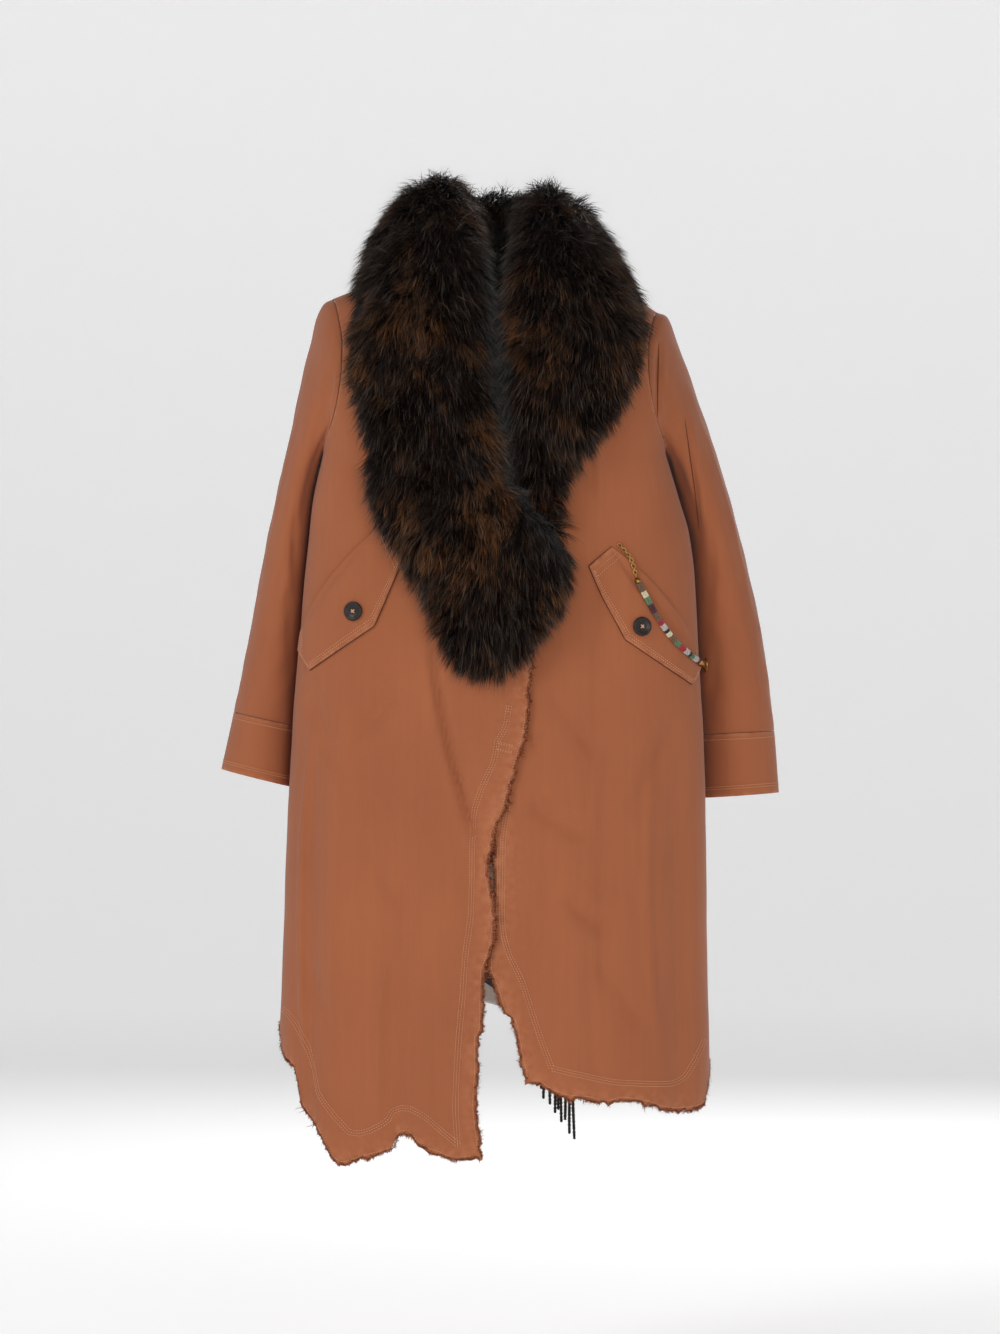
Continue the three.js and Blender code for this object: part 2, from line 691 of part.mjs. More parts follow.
// The room that the coat under the collar takes.
function coatCore() {
  const levels = [-330, -280, -230, -180, -130, -90, -50, -20, 0, 0.05, 0.12, 0.2, 0.3, 0.4, 0.5, 0.6, 0.7, 0.8];
  const rings = [...levels, 0.88, 0.95, 0.98, 0.9997].map((level) =>
    range(CORE_SIDES - 1, (t) => {
      const angle = (2 * Math.PI * t * (CORE_SIDES - 1)) / CORE_SIDES;
      const x = onBody(angle, level).x;
      const lifted = Math.cos(angle) > 0 ? smoothstep(x, -LIFT_HALF, -LIFT_HALF / 2) * (1 - smoothstep(x, 45, 85)) : 0;
      return offBody(angle, level, COLLAR_REST + OVER_LIFT * lifted);
    }),
  );
  return solidOf(ringSolid(rings));
}

// The free edge of a pocket flap through its four corners.
function flapEdge(...corners) {
  const rows = [0, ...FLAP_CORNERS, 1].map((share, i) => [share, ...corners[i]]);
  return table("share x z", rows, true);
}

// The pocket flaps: the ends of the seam and the free edge under it, as seen from the front.
const RIGHT_FLAP = {
  seam: [-141, -315, -251, -457],
  edge: flapEdge([-122, -368], [-157, -450], [-239, -506], [-253, -481]),
  button: [-181.6, -431.8],
};
const LEFT_FLAP = {
  seam: [143.5, -350.5, 251, -486],
  edge: flapEdge([114, -375], [159, -467], [244, -524], [253.5, -503]),
  button: [178.4, -450.9],
};

// A pocket flap, lying on the front.
function flapSolid(side) {
  const { seam, edge } = side < 0 ? RIGHT_FLAP : LEFT_FLAP;
  const columns = range(FLAP_COLUMNS, (u) => {
    const turn = mix(angleAt(seam[0], seam[1]), angleAt(seam[2], seam[3]), u);
    const z = mix(seam[1], seam[3], u);
    const foot = edge(u);
    const footTurn = angleAt(foot.x, foot.z);
    return range(FLAP_ROWS, (v) => {
      const lift = mix(FLAP_LIFT[1], FLAP_LIFT[0], v) + FLAP_WALL;
      return offBody(mix(footTurn, turn, v), mix(foot.z, z, v) - CHEST_Z, lift);
    });
  });
  if (side < 0) columns.reverse();
  return clothWall(rowsOf(columns), FLAP_WALL);
}

// A button with four holes on its flap: its face is dished and has a raised rim.
function buttonSolid(side) {
  const profile = [
    [0, 0],
    [BUTTON_RADIUS - 1.2, 0],
    [BUTTON_RADIUS, 1.2],
    [BUTTON_RADIUS, 2.8],
    [BUTTON_RADIUS - 1.4, 4],
    [BUTTON_RADIUS - 4.2, 2.7],
    [0, 2.3],
  ].map(([r, y]) => new THREE.Vector2(r, y));
  const disc = solidOf(new THREE.LatheGeometry(profile, BUTTON_SIDES));
  const holes = [0, 1, 2, 3].map((quarter) => {
    const turn = (quarter * Math.PI) / 2 + Math.PI / 4;
    const hole = new THREE.CylinderGeometry(BUTTON_HOLE.radius, BUTTON_HOLE.radius, 12, BUTTON_HOLE.sides);
    hole.translate(BUTTON_HOLE.from_middle * Math.cos(turn), 0, BUTTON_HOLE.from_middle * Math.sin(turn));
    return solidOf(hole);
  });
  const [x, z] = (side < 0 ? RIGHT_FLAP : LEFT_FLAP).button;
  const foot = offFront(x, z, FLAP_LIFT[1] + FLAP_WALL + BUTTON_OFF);
  const out = offFront(x, z, 50).sub(foot).normalize();
  const geometry = geometryFrom(wasm.Manifold.difference([disc, ...holes]));
  geometry.applyQuaternion(new THREE.Quaternion().setFromUnitVectors(vector(0, 1, 0), out));
  return geometry.translate(foot.x, foot.y, foot.z);
}

// The beaded strand across the left flap, and the short chain from the coat down to it, as seen from the front.
const STRAND = [
  [174, -396],
  [185.4, -418],
  [195.6, -437],
  [207, -455],
  [219.7, -471],
  [236, -486],
  [249, -497],
];
const CHAIN = [
  [151, -347, 2],
  [159, -357, 3.6],
  [165, -366, 5.8],
  [169, -380, 5.9],
  [171, -389, 6],
];

// Strands of fringe hanging from the edge of the woollen cloth, fused to a strip along it.
const FRINGE = { columns: [6, 7], strip: 7, length: [123, 100] };

function fringeSolid() {
  const hem = liningGrid()[0].map((p) => p.clone().add(vector(0, 0, -GAP)));
  const [low, high] = FRINGE.columns.map((i) => hem[i]);
  const below = [low, high].map((p) => p.clone().add(vector(0, 0, -FRINGE.strip)));
  const strip = solidOf(clothWall([below, [low, high]], LINING_WALL));
  const strands = range(FRINGE_STRANDS - 1, (u) => {
    const root = low.clone().lerp(high, mix(0.05, 0.95, u)).add(vector(0, -LINING_WALL / 2, -3));
    const uneven = 0.5 + 0.5 * Math.sin(FRINGE_STRANDS * 2.4 * u);
    const length = mix(...FRINGE.length, u) - 14 * uneven;
    const rings = range(3, (v) => {
      const half = mix(...FRINGE_HALF, v);
      const sway = 2.5 * Math.sin(3 * v + 5 * u) * v;
      const middle = root.clone().add(vector(sway, 1.5 * Math.sin(4 * v + 9 * u) * v, -length * v));
      return [0, 1, 2, 3].map((i) => {
        const turn = (i * Math.PI) / 2 + v * 2;
        return middle.clone().add(vector(half * Math.cos(turn), half * Math.sin(turn), 0));
      });
    });
    return solidOf(ringSolid(rings));
  });
  return geometryFrom(wasm.Manifold.union([strip, ...strands]));
}

const COLOURS = {
  canvas: 0xa5613f,
  fur: 0x2b1d18,
  wool: 0x2b2c2e,
  horn: 0x2a211c,
  beads: 0x5d6a48,
  metal: 0xb08a4a,
  fringe: 0x17171a,
};

const coat = new THREE.Group();
coat.name = "coat";

// Adds a named piece.
function add(name, geometry, colour, roughness = 0.9, metalness = 0) {
  geometry.computeVertexNormals();
  const mesh = new THREE.Mesh(geometry, new THREE.MeshStandardMaterial({ color: COLOURS[colour], roughness, metalness }));
  mesh.name = name;
  coat.add(mesh);
}

const core = coatCore();
const rightCollar = collarSweep(-1, 0).subtract(core);
const roundRight = collarSweep(-1, CROSSING_GAP);
const leftCollar = collarSweep(1, 0).subtract(core).subtract(roundRight);

add("front_right", frontPanel(-1), "canvas");
add("front_left", frontPanel(1), "canvas");
add("back", clothWall(backGrid(), WALL, SHOULDER_SEAM), "canvas");
add("back_lining", clothWall(liningGrid(), LINING_WALL), "wool");
add("sleeve_right", sleeveTube(-1, 0, CUFF_START - CUFF_GAP, SLEEVE_ROWS), "canvas");
add("sleeve_left", sleeveTube(1, 0, CUFF_START - CUFF_GAP, SLEEVE_ROWS), "canvas");
add("cuff_right", sleeveTube(-1, CUFF_START, 1, CUFF_ROWS), "canvas");
add("cuff_left", sleeveTube(1, CUFF_START, 1, CUFF_ROWS), "canvas");
add("collar_right", geometryFrom(rightCollar), "fur", 1);
add("collar_left", geometryFrom(leftCollar), "fur", 1);
add("flap_right", geometryFrom(solidOf(flapSolid(-1)).subtract(roundRight)), "canvas");
add("flap_left", flapSolid(1), "canvas");
add("button_right", buttonSolid(-1), "horn", 0.4);
add("button_left", buttonSolid(1), "horn", 0.4);
add("bead_strand", tube(STRAND.map(([x, z]) => offFront(x, z, STRAND_LIFT)), STRAND_RADIUS, 22, 8), "beads", 0.3);
add("bead_chain", tube(CHAIN.map(([x, z, out]) => offFront(x, z, out)), CHAIN_RADIUS, 8, 6), "metal", 0.3, 1);
add("fringe", fringeSolid(), "fringe");

export default coat;
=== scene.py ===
"""The coat's look: cloth shells with creases and stitching, fur, beads and fringe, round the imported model."""

import math

import bpy
import numpy as np
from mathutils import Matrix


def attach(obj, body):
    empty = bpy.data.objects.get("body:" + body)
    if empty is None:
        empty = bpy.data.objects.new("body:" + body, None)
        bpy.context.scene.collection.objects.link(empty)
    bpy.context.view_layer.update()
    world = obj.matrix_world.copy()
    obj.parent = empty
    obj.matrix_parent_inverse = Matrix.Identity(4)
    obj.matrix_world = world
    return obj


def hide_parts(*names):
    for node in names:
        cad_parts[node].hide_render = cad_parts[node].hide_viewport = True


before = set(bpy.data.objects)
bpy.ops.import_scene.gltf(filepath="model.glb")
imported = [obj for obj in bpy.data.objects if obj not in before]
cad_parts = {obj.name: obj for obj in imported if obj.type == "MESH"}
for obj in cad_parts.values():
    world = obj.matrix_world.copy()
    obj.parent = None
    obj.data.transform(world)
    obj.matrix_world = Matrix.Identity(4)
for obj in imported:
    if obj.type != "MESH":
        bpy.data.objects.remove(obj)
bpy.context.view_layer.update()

MM = 0.001
RIGHT, LEFT = -1, 1
SIDE_NAMES = {RIGHT: "right", LEFT: "left"}
random = np.random.default_rng(27)

# Cloth, in millimetres: walls, the gap at a seam, how far the inner cloth is from the back and hangs below it,
# how far a tape is inside an armhole, and the tapes' radii. A cuff's worn rims are a share of the sleeve
WALL = 1.6
LINING_WALL = 2.0
FLAP_WALL = 2.8
SEAM = 0.5
LINING_GAP = 1.0
LINING_HANGS = 4
TAPE_INSIDE = 1.6
ARM_TAPE = 1.0
SIDE_TAPE = 1.1
CUFF_WEAR = 0.004

# The body's form, the same as the solids have
CHEST_Z = -230
WIDEST_Y = -25
DOME_POWER = 0.9
NECK_HALF = 80
NECK_RISE = 20
NECK_SOFT = 24
SHOULDER_SLOPE = {RIGHT: 0.34, LEFT: 0.4}
SHOULDER_BEND = {RIGHT: 0.0003, LEFT: 0.0012}
NECK_SCOOP = 0.25
TOP_ROW = 0.9975
SIDE_DEGREES = 97
SIDE_ANGLE = math.radians(SIDE_DEGREES)
SEAM_ANGLE = 0.0022
# How far each front is moved out where they overlap, and how far from the middle that ends
LIFT = {RIGHT: 2.4, LEFT: -4}
LIFT_HALF = 85
# A sleeve: its distance from the body, how far and where the underarm is tucked in, and the shares along it
# where it is wholly beside the body, where the armhole's own shape has faded out, and where the cuff starts
SLEEVE_CLEARANCE = 4
UNDERARM_TUCK = 5
UNDERARM = (0.13, 0.06)
WHOLLY_BESIDE = 0.12
HOLE_FADED = 0.38
CUFF_START = 0.87

# Raw edges: how far they waver, how far a front's edge is moved sideways and between which depths, and how
# much hem a degree of the angle has
RAGGED = 1.6
EDGE_RAGGED = RAGGED * 0.7
EDGE_SHIFT = {RIGHT: 0, LEFT: -3}
SHIFT_DEPTHS = (560, 720)
HEM_A_DEGREE = 4.2

# How fine the cloth is
BODY_ROWS = 160
DOME_ROWS = 50
FRONT_COLUMNS = 84
BACK_COLUMNS = 82
SLEEVE_SIDES = 92
SLEEVE_ROWS = 110
CUFF_ROWS = 24
LINING_ROWS = 84
LINING_INSET = 6
DOME_CROWDING = 1.35


class Table:
    """Named columns whose first one rises. Each is read smoothly, or straight, at any value of the first."""

    def __init__(self, names, rows, straight=False):
        self.names = names.split()
        self.rows = np.array(rows, float)
        self.at = self.rows[:, 0]
        self.straight = straight
        d = np.diff(self.rows, axis=0) / np.diff(self.at)[:, None]
        same = d[:-1] * d[1:] > 0
        middle = np.where(same, 2 * d[:-1] * d[1:] / np.where(same, d[:-1] + d[1:], 1), 0)
        self.slopes = np.vstack([d[:1], middle, d[-1:]])

    def __call__(self, value, name):
        c = self.names.index(name)
        v = np.clip(value, self.at[0], self.at[-1])
        if self.straight:
            return np.interp(v, self.at, self.rows[:, c])
        i = np.clip(np.searchsorted(self.at, v, side="right") - 1, 0, len(self.at) - 2)
        step = self.at[i + 1] - self.at[i]
        t = (v - self.at[i]) / step
        a, b = self.rows[i, c], self.rows[i + 1, c]
        ma, mb = self.slopes[i, c] * step, self.slopes[i + 1, c] * step
        return a + t * ma + t**2 * (3 * (b - a) - 2 * ma - mb) + t**3 * (2 * (a - b) + ma + mb)


BODY = Table("z right left front back square", [
    [-1140, 281, 271, 152, 158, 2.35],
    [-1000, 280, 269, 150, 154, 2.35],
    [-925, 278, 267, 149, 150, 2.35],
    [-798, 274, 265, 146, 144, 2.4],
    [-671, 269, 264, 143, 138, 2.4],
    [-580, 264, 261, 141, 132, 2.45],
    [-521, 260, 257, 139, 128, 2.45],
    [-467, 255, 254, 137, 124, 2.5],
    [-378, 247, 249, 133, 119, 2.6],
    [-334, 242, 243, 131, 117, 2.65],
    [-290, 237, 231, 128, 116, 2.7],
    [CHEST_Z, 224, 213, 125, 118, 2.8],
])

# The folds that the solids have: side, place at the top and at the foot, depth, width, and where they run
FOLDS = [
    ("front", -84, -22, -5, 22, -470, -830),
    ("front", -128, -136, -5, 16, -620, -1140),
    ("front", -206, -212, 5, 26, -420, -1140),
    ("front", -236, -246, -5, 15, -480, -1140),
    ("front", -60, -66, 4, 26, -700, -1140),
    ("front", 132, 126, -4, 16, -235, -700),
    ("front", 172, 184, 5, 26, -520, -1080),
    ("front", 228, 232, -5, 17, -520, -1080),
    ("front", 90, 104, 4, 30, -660, -1080),
    ("back", -168, -190, 9, 34, -360, -1080),
    ("back", -92, -104, -9, 30, -420, -1080),
    ("back", -18, -14, 8, 32, -330, -1080),
    ("back", 70, 88, -8, 30, -450, -1080),
    ("back", 150, 176, 9, 34, -380, -1080),
]

# Creases that only the cloth has: side, start and end as seen square on, depth, width
CREASES = [
    ("front", -87, -462, -20, -745, -8, 4),
    ("front", -97, -470, -31, -745, 3.4, 6),
    ("front", -77, -462, -11, -735, 2.4, 6),
    ("front", -232, -540, -238, -1080, 4.5, 5),
    ("front", -142, -860, -150, -1095, 3.6, 3.5),
    ("front", -40, -640, -60, -980, 1.5, 9),
    ("front", 36, -668, 112, -716, -7, 13),
    ("front", 78, -786, 146, -840, -6.5, 13),
    ("front", 132, -60, 132, -330, 2.6, 5),
    ("front", 198, -560, 205, -1020, 2.8, 6),
    ("front", 132, -560, 131, -1010, 2.4, 7),
    ("front", -196, -560, -200, -1040, 3, 9),
    ("front", 236, -60, 243, -236, -2, 6),
    ("front", 26, -590, 60, -600, 2.6, 5),
    ("front", 6, -563, 32, -571, -3, 3.5),
    ("front", -132, -302, -258, -464, -2.6, 4.5),
    ("front", 134, -338, 258, -494, -2.6, 4.5),
    ("front", 36, -576, 47, -614, -3, 3.5),
    ("front", 12, -790, 22, -868, -1.8, 4),
    ("front", -110, -520, -190, -600, -4, 11),
    ("front", -240, -520, -200, -640, -4.2, 10),
    ("front", -180, -700, -110, -820, -4, 12),
    ("front", 60, -520, 130, -620, -4.4, 11),
    ("front", 230, -560, 170, -700, -4, 11),
    ("front", 120, -860, 190, -960, -3.4, 12),
    ("front", -250, -860, -200, -980, -3.4, 11),
    ("back", -120, -300, -60, -420, -4.4, 10),
    ("back", 110, -290, 60, -430, -4.2, 10),
    ("back", -60, -520, 40, -560, -4, 11),
    ("back", 30, -700, 120, -760, -4, 11),
    ("back", -150, -760, -80, -800, -3.4, 10),
    ("back", 2, -240, 0, -900, 1.4, 4),
]

ARMHOLE = Table("share front back", [
    [0, 97, 83],
    [0.04, 81, 77],
    [0.1, 69, 69],
    [0.2, 62, 62],
    [0.33, 58.4, 58],
    [0.45, 58, 57.5],
    [0.62, 61, 60],
    [0.8, 65, 64.5],
    [1, 69.5, 69.5],
])
EDGE = {
    RIGHT: Table("z x", [
        [-1125, -20], [-1093, -24], [-1049, -28], [-1012, -26], [-970, -26], [-955, -20], [-930, -20],
        [-885, -19], [-870, -13], [-851, -7], [-830, -4], [-786, -8], [-755, -13], [-731, -8], [-710, -5],
        [-686, 6], [-662, 13], [-629, 22], [-595, 32], [-568, 37], [-532, 38], [-487, 42], [-420, 42],
        [-340, 28], [-270, -8], [CHEST_Z, -25],
    ]),
    LEFT: Table("z x", [
        [-1028, 36], [-990, 28], [-975, 25], [-948, 19], [-934, 6], [-903, -4], [-880, -12], [-830, -8],
        [-770, -4], [-737, -4], [-640, -25], [-560, -40], [-480, -42], [-420, -35], [-340, -8], [CHEST_Z, 25],
    ]),
}
NECKLINE = Table("share across", [[0, 0], [0.25, 0.62], [0.6, 0.9], [1, 1]])
HEM = {
    RIGHT: Table("angle z", [
        [-97, -957], [-88, -962], [-76, -998], [-67, -1010], [-64, -1037], [-62, -1058], [-54, -1080],
        [-50, -1092], [-44, -1124], [-41, -1131], [-35, -1124], [-26, -1112], [-23.5, -1093], [-21, -1090],
        [-17, -1107], [-13, -1115], [-8, -1123], [-2, -1119],
    ]),
    LEFT: Table("angle z", [
        [5, -1026], [8, -1028], [11, -1038], [15, -1045], [21, -1048], [27, -1053], [31, -1049], [39, -1054],
        [47, -1062], [57, -1065], [66, -1064], [74, -1058], [80, -1036], [90, -1010], [97, -1003],
    ]),
}
# The angles where the fronts' hems meet their raw edges
HEM_CORNER = {RIGHT: -2, LEFT: 5}
BACK_HEM = Table("angle z", [
    [97, -1003], [120, -1010], [145, -1014], [162, -1002], [170.5, -952], [179, -942], [185, -936],
    [200, -939], [220, -948], [245, -960], [263, -957],
])
SLEEVE = {
    RIGHT: Table("share outX outZ inZ middleY depth", [
        [0, 214, -33, -229, -8, 116],
        [0.02, 223, -37, -230, -6, 119],
        [0.05, 235, -60, -231, -3, 122],
        [0.1, 242, -90, -234, 3, 126],
        [0.18, 255, -140, -241, 11, 130],
        [0.27, 266, -195, -258, 18, 131],
        [0.34, 276, -237, -285, 22, 131],
        [0.53, 301, -353, -385, 26, 126],
        [0.72, 322, -467, -487, 28, 112],
        [CUFF_START, 341, -560, -578, 27, 100],
        [1, 357, -633, -656, 26, 90],
    ]),
    LEFT: Table("share outX outZ inZ middleY depth", [
        [0, 203.5, -49.5, -229, -8, 116],
        [0.02, 214, -53, -230, -6, 119],
        [0.06, 228, -85, -231.5, -2, 122],
        [0.11, 239, -114, -234, 3, 126],
        [0.18, 256, -161, -241, 11, 129],
        [0.26, 272, -207, -258, 18, 130],
        [0.31, 282, -237, -275, 21, 130],
        [0.48, 313, -348, -370, 26, 124],
        [0.68, 339, -467, -480, 28, 112],
        [CUFF_START, 354, -584, -589, 27, 98],
        [1, 360, -663, -670, 26, 90],
    ]),
}


def power(value, p):
    return np.sign(value) * np.abs(value) ** p


def mix(a, b, t):
    return a + (b - a) * t


def smoothstep(value, low, high):
    t = np.clip((value - low) / (high - low), 0, 1)
    return t * t * (3 - 2 * t)


def unit(vectors):
    return vectors / np.maximum(np.linalg.norm(vectors, axis=-1, keepdims=True), 1e-9)


def ridge(x):
    """The shoulder seam's height."""
    past = np.abs(x) - NECK_HALF
    out = (past + np.hypot(past, NECK_SOFT)) / 2
    slope = np.where(x < 0, SHOULDER_SLOPE[RIGHT], SHOULDER_SLOPE[LEFT])
    bend = np.where(x < 0, SHOULDER_BEND[RIGHT], SHOULDER_BEND[LEFT])
    return NECK_RISE - slope * out - bend * out**2


def fold_depth(x, is_front, z):
    """The depth of the folds that the solids have too."""
    depth = np.zeros(np.shape(x))
    for side, top, foot, deep, width, start, end in FOLDS:
        share = (start - z) / (start - end)
        line = deep * smoothstep(share, 0, 0.35) * np.exp(-(((x - mix(top, foot, share)) / width) ** 2))
        depth += np.where(is_front == (side == "front"), line, 0)
    return depth


def crease_depth(x, is_front, z):
    """The creases as seen square on, each fading towards its ends, and the cloth's slight unevenness."""
    depth = 0.5 * np.sin(x / 31 + 1.3 * np.sin(z / 83)) * np.sin(z / 57 + x / 90)
    depth += 0.3 * np.sin(x / 11 + 2 * np.sin(z / 37)) * np.sin(z / 29)
    for side, x0, z0, x1, z1, deep, width in CREASES:
        length = math.hypot(x1 - x0, z1 - z0)
        along = ((x - x0) * (x1 - x0) + (z - z0) * (z1 - z0)) / length**2
        bow = 0.03 * length * np.sin(np.pi * np.clip(along, 0, 1))
        off = ((x - x0) * (z1 - z0) - (z - z0) * (x1 - x0)) / length - bow
        fade = smoothstep(along, -0.05, 0.25) * smoothstep(-along, -1.05, -0.7)
        line = deep * np.exp(-((off / width) ** 2)) * fade
        depth += np.where(is_front == (side == "front"), line, 0)
    return depth


def on_body(angle, level):
    """Points on the body's form, as the solids have it."""
    below = CHEST_Z + np.minimum(level, 0)
    square = BODY(below, "square")
    across = power(np.sin(angle), 2 / square)
    forward = power(np.cos(angle), 2 / square)
    x = across * np.where(across < 0, BODY(below, "right"), BODY(below, "left"))
    reach = np.where(forward > 0, BODY(below, "front") + WIDEST_Y, BODY(below, "back") - WIDEST_Y)
    y = WIDEST_Y - forward * reach
    climbed = np.clip(level, 0, 1) * math.pi / 2
    up = np.sin(climbed) ** DOME_POWER
    out_x, out_y = x / BODY(below, "left"), (y - WIDEST_Y) / BODY(below, "front")
    size = np.hypot(out_x, out_y)
    fold = np.where(level <= 0, fold_depth(x, forward > 0, below), 0) / size
    z = np.where(level > 0, mix(CHEST_Z, ridge(x), up), below)
    return np.stack([x + out_x * fold, y * np.cos(climbed) ** DOME_POWER + out_y * fold, z], axis=-1)


def angle_at(x, z):
    """The angle of the place on the front with this x and z."""
    share = np.abs(x) / np.where(x < 0, BODY(z, "right"), BODY(z, "left"))
    return np.sign(x) * np.arcsin(np.minimum(share, 1) ** (BODY(z, "square") / 2))


def level_at(x, z):
    """The level of that place."""
    up = np.clip((z - CHEST_Z) / (ridge(x) - CHEST_Z), 0, 1)
    return np.where(z <= CHEST_Z, z - CHEST_Z, np.arcsin(up ** (1 / DOME_POWER)) / (math.pi / 2))


def normals_at(angle, level):
    """The body's outward directions there."""
    p = on_body(angle, level)
    along = on_body(angle + 0.004, level) - p
    down = on_body(angle, level + np.where(level > 0, -0.004, -2)) - p
    return unit(np.cross(down, along))


def off_body(angle, level, out):
    return on_body(angle, level) + normals_at(angle, level) * np.asarray(out)[..., None]


def off_front(x, z, out):
    """A point so far from the body's front, by its place as seen from the front."""
    return off_body(angle_at(x, z), level_at(x, z), out)


def cloth_point(side, angle, level, out=0.0):
    """A point on a front or on the back (side 0) with its creases, moved out."""
    p = on_body(angle, level)
    is_front = np.cos(angle) > 0
    lift = crease_depth(p[..., 0], is_front, p[..., 2])
    if side:
        near = smoothstep(-side * p[..., 0], -LIFT_HALF, -LIFT_HALF / 2)
        lift = lift + np.where(is_front, LIFT[side] * near, 0)
    return off_body(angle, level, lift + out)


def front_point(side, x, z, out=0.0):
    """The same, by its place as seen from the front."""
    x, z = np.asarray(x, float), np.asarray(z, float)
    return cloth_point(side, angle_at(x, z), level_at(x, z), out)


def new_piece(name, points, faces, material, slot, smooth=True, values=None):
    """A mesh piece from points in millimetres and faces with one number of corners. values are named numbers
    for each point, which its material reads."""
    mesh = bpy.data.meshes.new(name)
    mesh.vertices.add(len(points))
    mesh.vertices.foreach_set("co", (points * MM).astype(np.float32).ravel())
    mesh.loops.add(faces.size)
    mesh.loops.foreach_set("vertex_index", faces.astype(np.int32).ravel())
    mesh.polygons.add(len(faces))
    mesh.polygons.foreach_set("loop_start", np.arange(0, faces.size, faces.shape[1], dtype=np.int32))
    for key, numbers in (values or {}).items():
        layer = mesh.attributes.new(key, "FLOAT", "POINT")
        layer.data.foreach_set("value", np.asarray(numbers, np.float32).ravel())
    mesh.update(calc_edges=True)
    mesh.validate()
    if smooth:
        mesh.shade_smooth()
    mesh.materials.append(material)
    piece = bpy.data.objects.new(name, mesh)
    bpy.context.scene.collection.objects.link(piece)
    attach(piece, "root")
    return piece


def grid_normals(grid, closes):
    """The outward normals of a grid of points, whose rows go round with the angle and climb."""
    along = np.roll(grid, -1, axis=1) - np.roll(grid, 1, axis=1)
    if not closes:
        along[:, 0] = grid[:, 1] - grid[:, 0]
        along[:, -1] = grid[:, -1] - grid[:, -2]
    return unit(np.cross(along, np.gradient(grid, axis=0)))


def split(quads):
    """Each quad as two triangles."""
    return np.vstack([quads[:, [0, 1, 2]], quads[:, [0, 2, 3]]])


def grid_faces(rows, columns, closes, start=0, turned=False):
    """The quads of a grid."""
    j, i = np.meshgrid(np.arange(rows - 1), np.arange(columns if closes else columns - 1), indexing="ij")
    right = (i + 1) % columns
    quads = [j * columns + i, j * columns + right, (j + 1) * columns + right, (j + 1) * columns + i]
    faces = np.stack(quads[::-1] if turned else quads, axis=-1).reshape(-1, 4)
    return faces + start


def wall_mesh(grid, wall, closes=False, seam_row=None, seam_axis=1):
    """The points and quads of a closed cloth wall from its outer points. A seam row's wall isn't turned along
    the seam's axis, so that it meets its neighbour."""
    rows, columns = grid.shape[:2]
    normals = grid_normals(grid, closes)
    if seam_row is not None:
        normals[seam_row, :, seam_axis] = 0
        normals = unit(normals)
    inner = grid - normals * wall
    count = rows * columns
    number = np.arange(count).reshape(rows, columns)
    faces = [grid_faces(rows, columns, closes), grid_faces(rows, columns, closes, count, True)]
    rims = [(number[0], True), (number[-1], False)]
    if not closes:
        rims += [(number[:, 0], False), (number[:, -1], True)]
    for rim, turned in rims:
        line = np.append(rim, rim[0]) if closes else rim
        a, b = line[:-1], line[1:]
        quad = [a, b, b + count, a + count]
        faces.append(np.stack(quad[::-1] if turned else quad, axis=-1))
    return np.vstack([grid.reshape(-1, 3), inner.reshape(-1, 3)]), np.vstack(faces)


def grid_area(grid):
    """The area of a grid in square metres."""
    a, b, c, d = grid[:-1, :-1], grid[:-1, 1:], grid[1:, 1:], grid[1:, :-1]
    halves = np.linalg.norm(np.cross(b - a, c - a), axis=-1) + np.linalg.norm(np.cross(c - a, d - a), axis=-1)
    return float(halves.sum()) / 2 * MM**2


def longest(grid, axis):
    """The length in metres of a grid's longest row (axis 1) or column (axis 0)."""
    return float(np.linalg.norm(np.diff(grid, axis=axis), axis=-1).sum(axis=axis).max()) * MM


def cloth_piece(grid, wall, paint, node, closes=False, held="hung", rests_on="root", wear=None, **seam):
    """A cloth shell that replaces its solid. Its flat size is worked out but not used."""
    material, slot = paint
    points, faces = wall_mesh(grid, wall, closes, **seam)
    values = {} if wear is None else {"wear": np.tile(wear.ravel(), 2)}
    piece = new_piece("cloth_" + SHORT_NAMES.get(node, node), points, faces, material, slot, values=values)
    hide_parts(node)
    whole = np.concatenate([grid, grid[:, :1]], axis=1) if closes else grid
    width, length, area = longest(whole, 1), longest(grid, 0), grid_area(whole)


WAVE_LENGTHS = (9, 12, 17, 25, 38)


def ragged(at, size, seed):
    """An uneven line, in millimetres in and out, along a raw edge measured in millimetres."""
    dice = np.random.default_rng(seed)
    total = np.zeros(np.shape(at))
    for length in WAVE_LENGTHS:
        wave = 2 * np.pi / (length * dice.uniform(0.9, 1.1))
        total += np.sin(np.asarray(at) * wave + dice.uniform(0, 6.3)) * length**0.3
    return total / len(WAVE_LENGTHS) * size


def dome_levels(top, count):
    """The levels of rows over the shoulder dome, closer together at its foot."""
    return top * np.linspace(0, 1, count + 1) ** DOME_CROWDING


def panel_levels(hem_z, top):
    """The levels of a panel's rows for an array of columns: rows first."""
    low = np.linspace(1, 0, BODY_ROWS + 1)[:, None] * (hem_z - CHEST_Z)[None]
    high = dome_levels(1, DOME_ROWS)[1:, None] * np.broadcast_to(top, hem_z.shape)[None]
    return np.vstack([low, high])


def edge_x(side, z):
    """Where a front's raw edge runs, as seen from the front."""
    moved = EDGE_SHIFT[side] * smoothstep(-z, *SHIFT_DEPTHS)
    return EDGE[side](z, "x") + moved + ragged(z, EDGE_RAGGED, 12 + side)


def hem_height(side, around):
    """The z of a front's raw hem, or of the back's (side 0), at angles in degrees."""
    table, seed = (HEM[side], 4 + side) if side else (BACK_HEM, 8)
    return table(around, "z") + ragged(around * HEM_A_DEGREE, RAGGED, seed)


